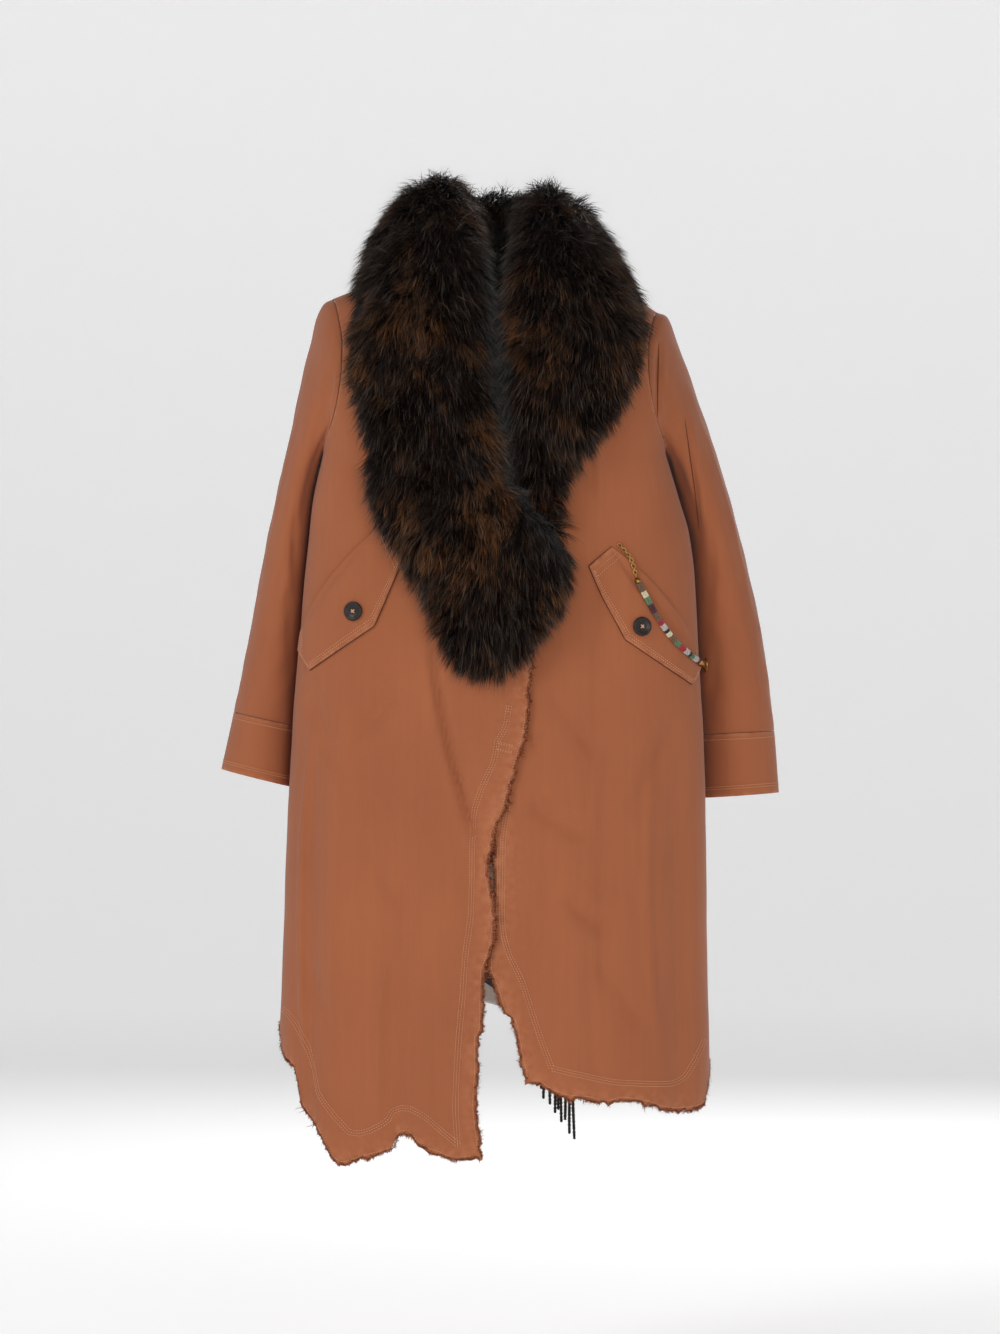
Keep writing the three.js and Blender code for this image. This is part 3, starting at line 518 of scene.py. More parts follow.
def edge_angle(side, level):
    """The angle of a front's raw edge at each level, up to the neck."""
    z = CHEST_Z + np.minimum(level, 0)
    below = angle_at(edge_x(side, z), z)
    top = EDGE[side](CHEST_Z, "x")
    above = angle_at(mix(top, side * NECK_HALF, NECKLINE(np.clip(level, 0, 1), "across")), CHEST_Z + 0 * z)
    return np.where(level > 0, above, below)


def front_grid(side):
    """A front's outer face, from the side seam to its raw edge and from the hem to the shoulder."""
    u = np.linspace(0, 1, FRONT_COLUMNS + 1)
    lowest = edge_angle(side, HEM[side](HEM_CORNER[side], "z") - CHEST_Z)
    around = np.degrees(mix(side * SIDE_ANGLE, lowest, u))
    level = panel_levels(hem_height(side, around), TOP_ROW)
    start = side * (np.radians(ARMHOLE(np.maximum(level, 0), "front")) - SEAM_ANGLE)
    angle = mix(start, edge_angle(side, level), u[None])
    grid = cloth_point(side, angle, level)
    return grid if side == RIGHT else grid[:, ::-1]


def back_grid():
    """The back's outer face, from the hem to the shoulders and the neck."""
    sideways = np.linspace(-1, 1, BACK_COLUMNS + 1)
    around = np.degrees(math.pi + sideways * (math.pi - SIDE_ANGLE))
    at_top = on_body(math.pi + sideways * math.radians(ARMHOLE(1, "back")), 0 * sideways)[:, 0]
    top = TOP_ROW - NECK_SCOOP * np.sqrt(np.maximum(1 - (at_top / NECK_HALF) ** 2, 0))
    level = panel_levels(hem_height(0, around), top)
    half = np.radians(ARMHOLE(np.maximum(level, 0), "back")) - SEAM_ANGLE
    return cloth_point(0, math.pi + sideways[None] * half, level)


def armhole_ring(side):
    """The sleeve's first ring, round the edge of its armhole."""
    half = SLEEVE_SIDES // 2
    level = dome_levels(TOP_ROW, half)
    front = on_body(side * np.radians(ARMHOLE(level, "front")), level)[::-1]
    back = on_body(side * (math.pi - np.radians(ARMHOLE(level, "back"))), level)
    ring = np.vstack([front, back[1:-1]])
    inwards = ring.mean(axis=0) - ring
    inwards[:, 0] = 0
    return ring + unit(inwards) * SEAM / 2 + np.array([side * SEAM, 0, 0])


def half_width(side, y, z):
    """How far the body reaches to a side at y and z."""
    reach = np.where(y < WIDEST_Y, BODY(z, "front") + WIDEST_Y, BODY(z, "back") - WIDEST_Y)
    share = np.minimum(np.abs(y - WIDEST_Y) / reach, 1) ** BODY(z, "square")
    return BODY(z, SIDE_NAMES[side]) * (1 - share) ** (1 / BODY(z, "square"))


def sleeve_grid(side, shares):
    """Rings of a sleeve: near the armhole each keeps what the armhole has beyond a plain oval."""
    hole = armhole_ring(side)
    turn = 2 * np.pi * np.arange(len(hole)) / len(hole)

    def oval(share, inner):
        def read(name):
            return SLEEVE[side](share, name)[:, None]

        out = (1 + np.cos(turn))[None] / 2
        x = side * mix(inner[:, None], read("outX"), out)
        y = read("middleY") - read("depth") / 2 * np.sin(turn)[None]
        return np.stack([x, y, mix(read("inZ"), read("outZ"), out)], axis=-1)

    at_hole = abs(hole[len(hole) // 2, 0])
    under = np.minimum(SLEEVE[side](shares, "inZ"), CHEST_Z)
    beside = half_width(side, SLEEVE[side](shares, "middleY"), under) + SLEEVE_CLEARANCE
    tucked = UNDERARM_TUCK * np.exp(-(((shares - UNDERARM[0]) / UNDERARM[1]) ** 2))
    rings = oval(shares, mix(at_hole, beside, smoothstep(shares, 0, WHOLLY_BESIDE)) - tucked)
    start = oval(np.zeros(1), np.array([at_hole]))
    kept = 1 - smoothstep(shares, 0, HOLE_FADED)
    rings = rings + (hole[None] - start) * kept[:, None, None]
    return rings[:, ::-1] if side == RIGHT else rings


class Paint:
    """A material whose nodes are made and joined by short calls."""

    def __init__(self, name, roughness=0.9, **sockets):
        self.material = bpy.data.materials.new(name)
        self.material.use_nodes = True
        self.tree = self.material.node_tree
        self.shader = self.tree.nodes["Principled BSDF"]
        self.shader.inputs["Roughness"].default_value = roughness
        for socket, value in sockets.items():
            self.shader.inputs[socket.replace("_", " ")].default_value = value

    def node(self, kind, inputs=(), **settings):
        node = self.tree.nodes.new(kind)
        for key, value in settings.items():
            setattr(node, key, value)
        for socket, value in dict(inputs).items():
            if isinstance(value, bpy.types.NodeSocket):
                self.tree.links.new(value, node.inputs[socket])
            else:
                node.inputs[socket].default_value = value
        return node

    def value(self, name):
        return self.node("ShaderNodeAttribute", attribute_name=name).outputs["Fac"]

    def noise(self, scale, detail=3.0, stretch=(1, 1, 1)):
        place = self.node("ShaderNodeTexCoord").outputs["Object"]
        place = self.node("ShaderNodeMapping", {"Vector": place, "Scale": stretch}).outputs[0]
        inputs = {"Vector": place, "Scale": scale, "Detail": detail, "Roughness": 0.5}
        return self.node("ShaderNodeTexNoise", inputs).outputs[0]

    def math(self, operation, a, b=0.0, clamp=False):
        return self.node("ShaderNodeMath", {0: a, 1: b}, operation=operation, use_clamp=clamp).outputs[0]

    def ramp(self, value, *stops):
        node = self.node("ShaderNodeValToRGB", {"Fac": value})
        ramp = node.color_ramp
        while len(ramp.elements) < len(stops):
            ramp.elements.new(0.5)
        for element, (place, colour) in zip(ramp.elements, stops):
            element.position = place
            element.color = (*colour, 1)
        return node.outputs["Color"]

    def blend(self, factor, a, b):
        node = self.node("ShaderNodeMix", data_type="RGBA", blend_type="MIX")
        for socket, value in ((node.inputs[0], factor), (node.inputs[6], a), (node.inputs[7], b)):
            if isinstance(value, bpy.types.NodeSocket):
                self.tree.links.new(value, socket)
            else:
                socket.default_value = value if socket == node.inputs[0] else (*value, 1)
        return node.outputs[2]

    def colour(self, value):
        self.tree.links.new(value, self.shader.inputs["Base Color"])
        return self

    def bump(self, height, strength, distance):
        node = self.node("ShaderNodeBump", {"Height": height, "Strength": strength, "Distance": distance})
        self.tree.links.new(node.outputs[0], self.shader.inputs["Normal"])
        return self


BLACK, WHITE = (0, 0, 0), (1, 1, 1)


def linear(red, green, blue):
    """A colour as seen on a screen, from 0 to 255, in the shader's own units."""
    return tuple((c / 255) ** 2.2 for c in (red, green, blue))


def canvas_paint():
    """Washed canvas: warm rust, worn paler on its edges, with faint lengthways streaks and a close weave."""
    paint = Paint("canvas", 0.88, Sheen_Weight=0.12, Sheen_Roughness=0.5)
    mottle = paint.noise(9, 4, (1, 1, 0.45))
    streak = paint.noise(160, 3, (1, 1, 0.05))
    base = paint.ramp(mottle, (0.3, linear(146, 82, 49)), (0.7, linear(157, 90, 55)))
    base = paint.blend(paint.math("MULTIPLY", streak, 0.35), base, linear(127, 70, 43))
    patches = paint.ramp(paint.noise(120, 2), (0.35, BLACK), (0.65, WHITE))
    worn = paint.math("MULTIPLY", paint.value("wear"), patches)
    base = paint.blend(paint.math("MULTIPLY", worn, 0.55), base, linear(190, 124, 88))
    fine = paint.noise(1400, 1)
    return paint.colour(base).bump(fine, 0.35, 0.0006).material


# The inner cloth's weave in metres: half a zigzag, the twill's lines, the grey band, the tweed's slanted top
HERRINGBONE = 0.006
TWILL = 2400.0
GREY_BAND = (-0.83, -0.757)
TWEED_SLOPE = 0.71
TWEED_TOP = -0.927


def lining_paint():
    """Wool cloth: a black herringbone, a grey one in a band across it, and a grey tweed at the foot."""
    paint = Paint("lining_wool", 0.95, Sheen_Weight=0.2)
    place = paint.node("ShaderNodeTexCoord").outputs["Object"]
    split = paint.node("ShaderNodeSeparateXYZ", {0: place})
    x, z = split.outputs["X"], split.outputs["Z"]
    zigzag = paint.math("ADD", paint.math("PINGPONG", x, HERRINGBONE), z)
    lines = paint.math("SINE", paint.math("MULTIPLY", zigzag, TWILL))
    speck = paint.noise(900, 2)
    pale = paint.math("ADD", paint.math("MULTIPLY", lines, 0.35), speck)
    # Partly painted light: the grey is pale cloth, run up to near white past its own tone to light the inside
    # of the coat
    grey = paint.ramp(pale, (0.2, linear(150, 146, 140)), (0.8, linear(255, 248, 236)))
    black = paint.ramp(pale, (0.25, linear(24, 24, 26)), (0.8, linear(92, 92, 96)))
    under, over = paint.math("LESS_THAN", z, GREY_BAND[1]), paint.math("GREATER_THAN", z, GREY_BAND[0])
    band = paint.math("MULTIPLY", under, over)
    near = paint.math("MAXIMUM", paint.math("MINIMUM", x, 0.03), -0.05)
    foot = paint.math("LESS_THAN", paint.math("ADD", z, paint.math("MULTIPLY", near, TWEED_SLOPE)), TWEED_TOP)
    paint.colour(paint.blend(paint.math("ADD", band, foot, True), black, grey))
    return paint.bump(speck, 0.4, 0.0008).material


def fur_paint():
    """Dark hair: warm tips in patches, greyer at the collar's inner edge, and pale tips on guard hairs."""
    paint = Paint("fur", 0.5, Specular_IOR_Level=0.3)
    along, tone, cool, pale = (paint.value(name) for name in ("along", "tone", "cool", "pale"))
    shaft = paint.ramp(along, (0.15, BLACK), (0.7, WHITE))
    tip = paint.ramp(along, (0.35, BLACK), (1, WHITE))
    warm = paint.blend(shaft, linear(11, 8, 7), linear(30, 20, 16))
    warm = paint.blend(paint.math("MULTIPLY", tip, tone, True), warm, linear(138, 90, 54))
    dark = paint.blend(shaft, linear(14, 14, 14), linear(38, 37, 36))
    dark = paint.blend(paint.math("MULTIPLY", tip, 0.45), dark, linear(104, 102, 99))
    hair = paint.blend(cool, warm, dark)
    hair = paint.blend(paint.math("MULTIPLY", tip, pale, True), hair, linear(160, 140, 122))
    return paint.colour(hair).material


def plain_paint(name, colour, roughness, grain=0.0, **sockets):
    """One colour, with spots that are darker by the share grain."""
    paint = Paint(name, roughness, **sockets)
    if not grain:
        paint.shader.inputs["Base Color"].default_value = (*colour, 1)
        return paint.material
    darker = tuple(c * (1 - grain) for c in colour)
    return paint.colour(paint.ramp(paint.noise(260, 3), (0.3, darker), (0.7, colour))).material


def fray_paint():
    """Loose fibres from dark rust to pale."""
    paint = Paint("fray", 0.95)
    tones = ((0.2, linear(86, 38, 18)), (0.55, linear(158, 78, 38)), (1, linear(206, 132, 88)))
    return paint.colour(paint.ramp(paint.value("tone"), *tones)).material


def bead_paint():
    """Glass beads, each in its own colour."""
    paint = Paint("beads", 0.28, Coat_Weight=0.3)
    channels = {k: paint.value(name) for k, name in enumerate(BEAD_CHANNELS)}
    return paint.colour(paint.node("ShaderNodeCombineColor", channels).outputs[0]).material


BEAD_CHANNELS = ("red", "green", "blue")
CANVAS = canvas_paint()
LINING = lining_paint()
THREAD = plain_paint("thread", linear(212, 156, 118), 0.8, 0.1)
FRAY = fray_paint()
# Painted shade: the colour of the dark tubes that stand in for shadow at seams, under flap edges and in folds
SEAM_SHADE = plain_paint("seam_shade", linear(92, 48, 30), 1.0)
SKIN = plain_paint("fur_base", linear(20, 13, 11), 1.0)
FUR = fur_paint()
HORN = plain_paint("horn", linear(40, 33, 29), 0.42, 0.5, Coat_Weight=0.05, Specular_IOR_Level=0.3)
GOLD = plain_paint("chain_metal", linear(190, 146, 84), 0.28, 0.5, Metallic=1.0)
YARN = plain_paint("fringe", linear(40, 33, 31), 0.9, 0.4, Sheen_Weight=0.2)
BEADS = bead_paint()
CANVAS_CLOTH = (CANVAS, "canvas")
LINING_CLOTH = (LINING, "lining_wool")
# The inner cloth's solid and the end of its piece's name
SHORT_NAMES = {"back_lining": "lining"}


def build_tape(name, path, radius, sides=6):
    """A round canvas tape along a path."""
    points, faces = round_tube(path, radius, sides)
    new_piece(name, points, faces, CANVAS, "canvas", values={"wear": np.zeros(len(points))})


def build_seam_tapes():
    """A thin tape inside each armhole and side seam, as its turned-in edges would show."""
    for side in (RIGHT, LEFT):
        foot = HEM[side](side * SIDE_DEGREES, "z") + 3
        level = np.linspace(foot - CHEST_Z, -4, 150)
        seam = cloth_point(0, side * SIDE_ANGLE + 0 * level, level, -WALL - SIDE_TAPE)
        build_tape("side_tape_" + SIDE_NAMES[side], seam, SIDE_TAPE, 5)
        ring = armhole_ring(side)
        hole = ring - unit(ring - ring.mean(axis=0)) * TAPE_INSIDE
        build_tape("seam_tape_" + SIDE_NAMES[side], np.vstack([hole, hole[:1]]), ARM_TAPE)


WEAR_REACH = 0.06


def rim_wear(grid):
    """1 at a panel's raw and sewn edges, fading inwards."""
    rows, columns = grid.shape[:2]
    j, i = np.meshgrid(np.linspace(0, 1, rows), np.linspace(0, 1, columns), indexing="ij")
    near = np.minimum(np.minimum(i, 1 - i) * 3, np.minimum(j, 1 - j) * 6)
    return np.exp(-near / WEAR_REACH)


def sleeve_rings(side):
    """A sleeve's rings down to the cuff's seam, with its creases."""
    shares = np.linspace(0, CUFF_START - 0.001, SLEEVE_ROWS + 1)
    return sleeve_creases(side, sleeve_grid(side, shares), shares)


def build_cloth():
    """The fronts, sleeves, cuffs, back and inner cloth."""
    for side in (RIGHT, LEFT):
        word = SIDE_NAMES[side]
        grid = front_grid(side)
        cloth_piece(grid, WALL, CANVAS_CLOTH, "front_" + word, wear=rim_wear(grid), seam_row=-1)
        rings = sleeve_rings(side)
        unworn = np.zeros(rings.shape[:2])
        cloth_piece(rings, WALL, CANVAS_CLOTH, "sleeve_" + word, True, wear=unworn, seam_row=0, seam_axis=0)
        shares = np.linspace(CUFF_START, 1, CUFF_ROWS + 1)
        rings = sleeve_grid(side, shares)
        near = np.minimum(shares - CUFF_START, 1 - shares)
        wear = np.exp(-near / CUFF_WEAR)[:, None] * np.ones(rings.shape[1])
        cloth_piece(rings, WALL, CANVAS_CLOTH, "cuff_" + word, True, wear=wear)
    grid = back_grid()
    cloth_piece(grid, WALL, CANVAS_CLOTH, "back", wear=rim_wear(grid), seam_row=-1)
    inner = grid - grid_normals(grid, False) * (WALL + LINING_GAP)
    inner = inner[:LINING_ROWS, LINING_INSET:-LINING_INSET:2]
    inner = np.concatenate([inner[:1] - [0, 0, LINING_HANGS], inner])
    cloth_piece(inner, LINING_WALL, LINING_CLOTH, "back_lining")


# A sleeve's creases: share of its length, turn round it (0 outside, 0.25 front, 0.5 inside), depth, length,
# width, slant
SLEEVE_CREASES = [
    (0.12, 0.27, -3, 0.16, 0.03, 0.2),
    (0.3, 0.36, -3.5, 0.2, 0.03, -0.3),
    (0.42, 0.1, 1.8, 0.3, 0.02, 0.05),
    (0.5, 0.3, -2.6, 0.14, 0.035, 0.4),
    (0.62, 0.22, -2, 0.16, 0.03, -0.35),
    (0.72, 0.34, -2.2, 0.12, 0.03, 0.3),
    (0.48, 0.72, -3, 0.2, 0.04, -0.3),
    (0.6, 0.84, -2.4, 0.16, 0.04, 0.35),
    (0.75, 0.66, -2, 0.14, 0.04, -0.2),
    (0.2, 0.7, -2.4, 0.2, 0.05, 0.2),
]
# The left sleeve's pressed folds as seen from the front: x and z along each, depth and width
SLEEVE_FOLDS = [
    ([(204, -84), (202, -136), (201, -205)], -3, 4),
    ([(236, -180), (240, -208), (244, -237), (250, -277), (256, -330)], -3, 4.5),
]


def sleeve_folds(rings, normals):
    """The depth of the left sleeve's pressed folds on its front side."""
    depth = np.zeros(rings.shape[:2])
    for line, deep, width in SLEEVE_FOLDS:
        x, z = np.array(line).T
        off = rings[..., 0] - np.interp(-rings[..., 2], -z, x)
        share = (rings[..., 2] - z[0]) / (z[-1] - z[0])
        fade = smoothstep(share, -0.05, 0.25) * smoothstep(-share, -1.05, -0.6)
        fold = deep * np.exp(-((off / width) ** 2))
        fold = fold - 0.5 * deep * np.exp(-(((off - 1.8 * width) / width) ** 2))
        depth += fold * fade * (normals[..., 1] < 0)
    return depth


def sleeve_creases(side, rings, shares):
    """The rings with their creases. Near the body they only go inwards."""
    normals = grid_normals(rings, True)
    turn = np.arange(rings.shape[1]) / rings.shape[1]
    if side == RIGHT:
        turn = turn[::-1]
    depth = np.zeros(rings.shape[:2])
    for share, place, deep, length, width, slant in SLEEVE_CREASES:
        along = (shares[:, None] - share - 0.02 * side) / length
        off = (turn[None] - place - slant * along * 0.15 + 0.5) % 1 - 0.5
        depth += deep * np.exp(-((along * 1.6) ** 2) - (off / width) ** 2)
    fade = smoothstep(shares, 0.0, 0.05) * smoothstep(-shares, -CUFF_START, -CUFF_START + 0.03)
    fade = fade[:, None]
    near_body = np.exp(-(((turn - 0.5) / 0.1) ** 2))[None]
    depth += 0.5 * np.sin(turn * 40 + 9 * shares[:, None]) * np.sin(shares[:, None] * 60 + turn * 9)
    shift = np.where(depth > 0, depth * (1 - near_body), depth) * fade
    if side == LEFT:
        shift = shift + sleeve_folds(rings, normals)
    return rings + normals * shift[..., None]


# Pocket flaps: the seam's two ends, and the free edge by share along the seam, as seen from the front
FLAPS = {
    RIGHT: ((-141, -315, -251, -457), [(-122, -368), (-157, -450), (-239, -506), (-253, -481)]),
    LEFT: ((143.5, -350.5, 251, -486), [(114, -375), (159, -467), (244, -524), (253.5, -503)]),
}
FLAP_CORNERS = (0, 0.4, 13 / 15, 1)
BUTTONS = {RIGHT: (-181.6, -431.8), LEFT: (178.4, -450.9)}
# A flap's distance from the cloth at its seam and at its free edge, and how far its middle bulges
FLAP_LIFT = (0.6, 1.4)
FLAP_PUFF = 1.2


def flap_place(side, u, v, out):
    """A point on a flap by its share along the seam and from the free edge (0) up to the seam (1)."""
    (x0, z0, x1, z1), corners = FLAPS[side]
    rows = [(share, *corner) for share, corner in zip(FLAP_CORNERS, corners)]
    edge = Table("share x z", rows, straight=True)
    foot_x, foot_z = edge(u, "x"), edge(u, "z")
    foot = angle_at(foot_x, foot_z)
    top_z = mix(z0, z1, u)
    top = mix(angle_at(np.array(x0), np.array(z0)), angle_at(np.array(x1), np.array(z1)), u)
    return cloth_point(side, mix(foot, top, v), mix(foot_z, top_z, v) - CHEST_Z, out)


def flap_top(u, v, out=0.0):
    """How far a flap's outer face, or a place out from it, lies from the cloth below."""
    puff = FLAP_PUFF * np.sin(np.pi * np.clip(u, 0, 1)) * np.sin(np.pi * np.clip(v, 0, 1))
    return mix(FLAP_LIFT[1], FLAP_LIFT[0], v) + FLAP_WALL + puff + out


def build_flap(side):
    v, u = np.meshgrid(np.linspace(0, 1, 41), np.linspace(0, 1, 76), indexing="ij")
    grid = flap_place(side, u, v, flap_top(u, v))
    wear = np.exp(-np.minimum(np.minimum(u, 1 - u) * 4, v * 2) / 0.08)
    if side == RIGHT:
        grid, wear = grid[:, ::-1], wear[:, ::-1]
    word = SIDE_NAMES[side]
    below = "cloth_front_" + word
    cloth_piece(grid, FLAP_WALL, CANVAS_CLOTH, "flap_" + word, held="laid", rests_on=below, wear=wear)


# The collar: how full its section is and how high its edge lies, the shares along it where the neck's table
# ends and the chest's begins, its middle seam at the back, the fur's depth, and the chest's upper end
COLLAR_FULL = 0.82
COLLAR_EDGE = 0.4
NECK_SPAN, BRIDGE_SPAN = 0.42, 0.5
CENTRE_GAP = 0.25
CENTRE_OVERLAP = 1.4
FUR_DEPTH = 17
COLLAR_TOP = 90
# No hair reaches past these two y values
FUR_FRONT, FUR_BACK = -212, 174
COLLAR_REST = 1
NECK_NAMES = "share inX inY inZ outX outY outZ upX upY upZ underY underZ"
NECK = {
    RIGHT: Table(NECK_NAMES, [
        [0, 0, 46, 28, 0, 146, -22, 0, -4, 114, 0, -100],
        [0.25, 26, 38, 34, 98, 128, -24, -4, -6, 116, 0, -100],
        [0.45, 38, 12, 40, 158, 62, -18, -12, -8, 114, 0, -100],
        [0.6, 38, -18, 41, 178, 2, -14, -20, -12, 112, 0, -100],
        [0.8, 26, -58, 22, 182, -42, -36, -16, -40, 92, 20, -80],
        [1, 8, -98, -24, 183, -72, -62, -6, -66, 50, 45, -50],
    ]),
    LEFT: Table(NECK_NAMES, [
        [0, 0, 46, 28, 0, 146, -22, 0, -4, 114, 0, -100],
        [0.25, 25, 38, 33, 93, 126, -25, -6, -6, 110, 0, -100],
        [0.45, 36, 12, 37, 146, 60, -22, -14, -8, 105, 0, -100],
        [0.6, 35, -18, 35, 160, 2, -20, -24, -12, 103, 0, -100],
        [0.8, 18, -58, 12, 178, -42, -41, -18, -40, 84, 20, -80],
        [1, 4, -96, -34, 182, -70, -68, -8, -62, 46, 45, -50],
    ]),
}
CHEST = {
    RIGHT: Table("down inner outer thick", [
        [90, -2, -181, 62], [130, 1, -179, 60], [175, 5, -173, 58], [225, 11, -162, 56], [265, 18, -160, 58],
        [300, 36, -153, 62], [338, 76, -135, 64], [375, 92, -112, 62], [410, 85, -94, 57], [440, 66, -84, 50],
        [470, 45, -72, 40], [490, 28, -55, 28], [503, 4, -26, 12],
    ]),
    LEFT: Table("down inner outer thick", [
        [90, -4, 178, 60], [120, -2, 171, 57], [150, 1, 160, 53], [190, 5, 139, 48], [230, 10, 106, 42],
        [275, 18, 86, 34], [310, 34, 77, 27], [340, 46, 71, 18], [352, 52, 66, 10],
    ]),
}
LOWEST = {RIGHT: 503, LEFT: 352}


def lift_off(points, out):
    """Points inside the shoulders' dome are moved to its surface, straight away from its middle."""
    x, y, z = points[..., 0], points[..., 1], points[..., 2]
    up = z - CHEST_Z
    angle = angle_at(x, np.full(x.shape, float(CHEST_Z)))
    deep = np.where(y < 0, -on_body(angle, 0 * x)[..., 1], on_body(np.pi - angle, 0 * x)[..., 1]) + out
    tall = ridge(x) + out - CHEST_Z
    p = 2 / DOME_POWER
    inside = (np.abs(y) / deep) ** p + (np.maximum(up, 0) / tall) ** p
    grow = np.where(inside < 1, np.maximum(inside, 1e-4) ** (-1 / p), 1)
    return np.stack([x, y * grow, np.where(up > 0, CHEST_Z + up * grow, z)], axis=-1)


def collar_place(side, share, turn, shrink):
    """Points of a side of the collar by the share along it from the middle of the back, and the turn round
    it, from its outer edge over the crown to its inner edge. They lie under the fur's tips by shrink."""
    c, s = power(np.cos(turn), COLLAR_FULL), power(np.sin(turn), COLLAR_FULL)
    neck = NECK[side]
    at = np.clip(share / NECK_SPAN, 0, 1)

    def vector(x, y, z):
        return np.stack([side * (neck(at, x) if x else 0 * at), neck(at, y), neck(at, z)], axis=-1)

    inner, outer = vector("inX", "inY", "inZ"), vector("outX", "outY", "outZ")
    across = (outer - inner) / 2
    up, under = vector("upX", "upY", "upZ"), vector("", "underY", "underZ")
    across *= (1 - shrink / np.linalg.norm(across, axis=-1))[..., None]
    up *= (1 - shrink / np.linalg.norm(up, axis=-1))[..., None]
    height = np.where((s > 0)[..., None], up, under) * np.abs(s)[..., None]
    round_neck = (inner + outer) / 2 + across * c[..., None] + height
    round_neck[..., 0] += side * (CENTRE_GAP + 0.3)
    round_neck = lift_off(round_neck, COLLAR_REST)
    down = mix(COLLAR_TOP, LOWEST[side], np.clip((share - BRIDGE_SPAN) / (1 - BRIDGE_SPAN), 0, 1))
    inner_x, outer_x, thick = (CHEST[side](down, name) for name in ("inner", "outer", "thick"))
    if side == LEFT:
        inner_x = np.maximum(inner_x, np.minimum(CHEST[RIGHT](down, "inner") - 2, outer_x - 6))
    half = (outer_x - inner_x) / 2
    half = half * np.maximum(1 - shrink / np.abs(half), 0.1)
    edge = COLLAR_EDGE * thick
    high = thick - edge - np.minimum(shrink, thick * 0.4)
    out = edge + np.where(s > 0, s * high, s * (edge - COLLAR_REST))
    on_chest = off_front((inner_x + outer_x) / 2 + c * half, -down, out)
    bridge = np.clip((share - NECK_SPAN) / (BRIDGE_SPAN - NECK_SPAN), 0, 1)[..., None]
    return mix(round_neck, on_chest, bridge)


def build_collar_skin(side):
    """The dark base under the fur."""
    word = SIDE_NAMES[side]
    turns = np.linspace(0, 2 * np.pi, 40, endpoint=False)
    share, turn = np.meshgrid(np.linspace(0, 1, 90), turns, indexing="ij")
    grid = collar_place(side, share, turn, FUR_DEPTH)
    grid[0, :, 0] -= side * CENTRE_OVERLAP
    rows, columns = grid.shape[:2]
    points = grid.reshape(-1, 3)
    ends = np.array([grid[0].mean(axis=0), grid[-1].mean(axis=0)])
    first = np.arange(columns)
    last = first + (rows - 1) * columns
    count = len(points)
    caps = [np.stack([first, np.roll(first, -1), 0 * first + count], axis=-1),
            np.stack([last, np.roll(last, -1), 0 * last + count + 1], axis=-1)]
    triangles = np.vstack([split(grid_faces(rows, columns, True)), *caps])
    piece = new_piece("fur_base_" + word, np.vstack([points, ends]), triangles, SKIN, "fur")
    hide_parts("collar_" + word)


def waver(points, length, seed):
    """A smooth, uneven number from -1 to 1 at each point."""
    dice = np.random.default_rng(seed)
    total = np.zeros(len(points))
    for _ in range(6):
        way = unit(dice.normal(size=3)) * dice.uniform(0.6, 1.7) * 2 * np.pi / length
        total += np.sin(points @ way + dice.uniform(0, 2 * np.pi))
    return np.clip(total / 3, -1, 1)


def nearest(points, centres):
    """The number of the centre that is nearest to each point, found part by part to save memory."""
    parts = []
    for part in np.array_split(points, 60):
        parts.append(np.argmin(((part[:, None] - centres[None]) ** 2).sum(axis=-1), axis=1))
    return np.concatenate(parts)


def fur_roots(side, count, turns, shares):
    """Points spread evenly over the collar, their normals, shares and turns."""
    rows, columns = 120, 60
    share, turn = np.meshgrid(np.linspace(*shares, rows), np.linspace(*turns, columns), indexing="ij")
    grid = collar_place(side, share, turn, FUR_DEPTH)
    cells = np.linalg.norm(np.cross(np.diff(grid, axis=0)[:, :-1], np.diff(grid, axis=1)[:-1]), axis=-1)
    chosen = random.choice(cells.size, count, p=cells.ravel() / cells.sum())
    row, column = np.divmod(chosen, cells.shape[1])
    share = mix(*shares, (row + random.random(count)) / (rows - 1))
    turn = mix(*turns, (column + random.random(count)) / (columns - 1))
    place = collar_place(side, share, turn, FUR_DEPTH)
    along = collar_place(side, share + 0.004, turn, FUR_DEPTH) - place
    across = collar_place(side, share, turn + 0.02, FUR_DEPTH) - place
    middle = np.mean([collar_place(side, share, turn + k * np.pi / 2, FUR_DEPTH) for k in range(4)], axis=0)
    normal = unit(np.cross(across, along))
    normal *= np.sign((normal * (place - middle)).sum(axis=-1, keepdims=True))
    return place, normal, share, turn


def blades(roots, way, bend, length, width, values):
    """Flat tapering hairs of three triangles each: two to the middle and one to the tip."""
    side = unit(np.cross(way, random.normal(size=way.shape))) * width[:, None] / 2
    middle = roots + way * length[:, None] * 0.5
    tip = middle + unit(way + bend) * length[:, None] * 0.5
    points = np.stack([roots - side, roots + side, middle - side * 0.8, middle + side * 0.8, tip], axis=1)
    start = np.arange(len(roots))[:, None] * 5
    faces = np.concatenate([start + [0, 1, 3], start + [0, 3, 2], start + [2, 3, 4]], axis=0)
    along = np.tile([0, 0, 0.5, 0.5, 1], len(roots))
    spread = {key: np.repeat(v, 5) for key, v in values.items()}
    return points.reshape(-1, 3), faces, {"along": along, **spread}


# The fur: hairs in a clump, the share of longer guard hairs, and a hair's length and its spread
CLUMP_HAIRS = 22
GUARD_SHARE = 0.14
HAIR_LENGTH, HAIR_SPREAD = 30, 4
# Guard hairs are so many times as long. How far a usual and a guard hair's tip is pulled to its clump's middle,
# and how far any tip droops
GUARD_LENGTH = 1.3
CLUMP_PULL, GUARD_PULL = 0.9, 0.2
DROOP = 0.75
# How much of a hair's way comes from the surface's normal, down, outwards from the neck, the sway of its
# place, the sway of its clump, and chance
HAIR_WAY = (0.72, 0.62, 0.35, 0.35, 0.2, 0.13)
# The turn round the collar where the grey inner edge begins and is full
GREY_TURNS = (2.45, 2.8)


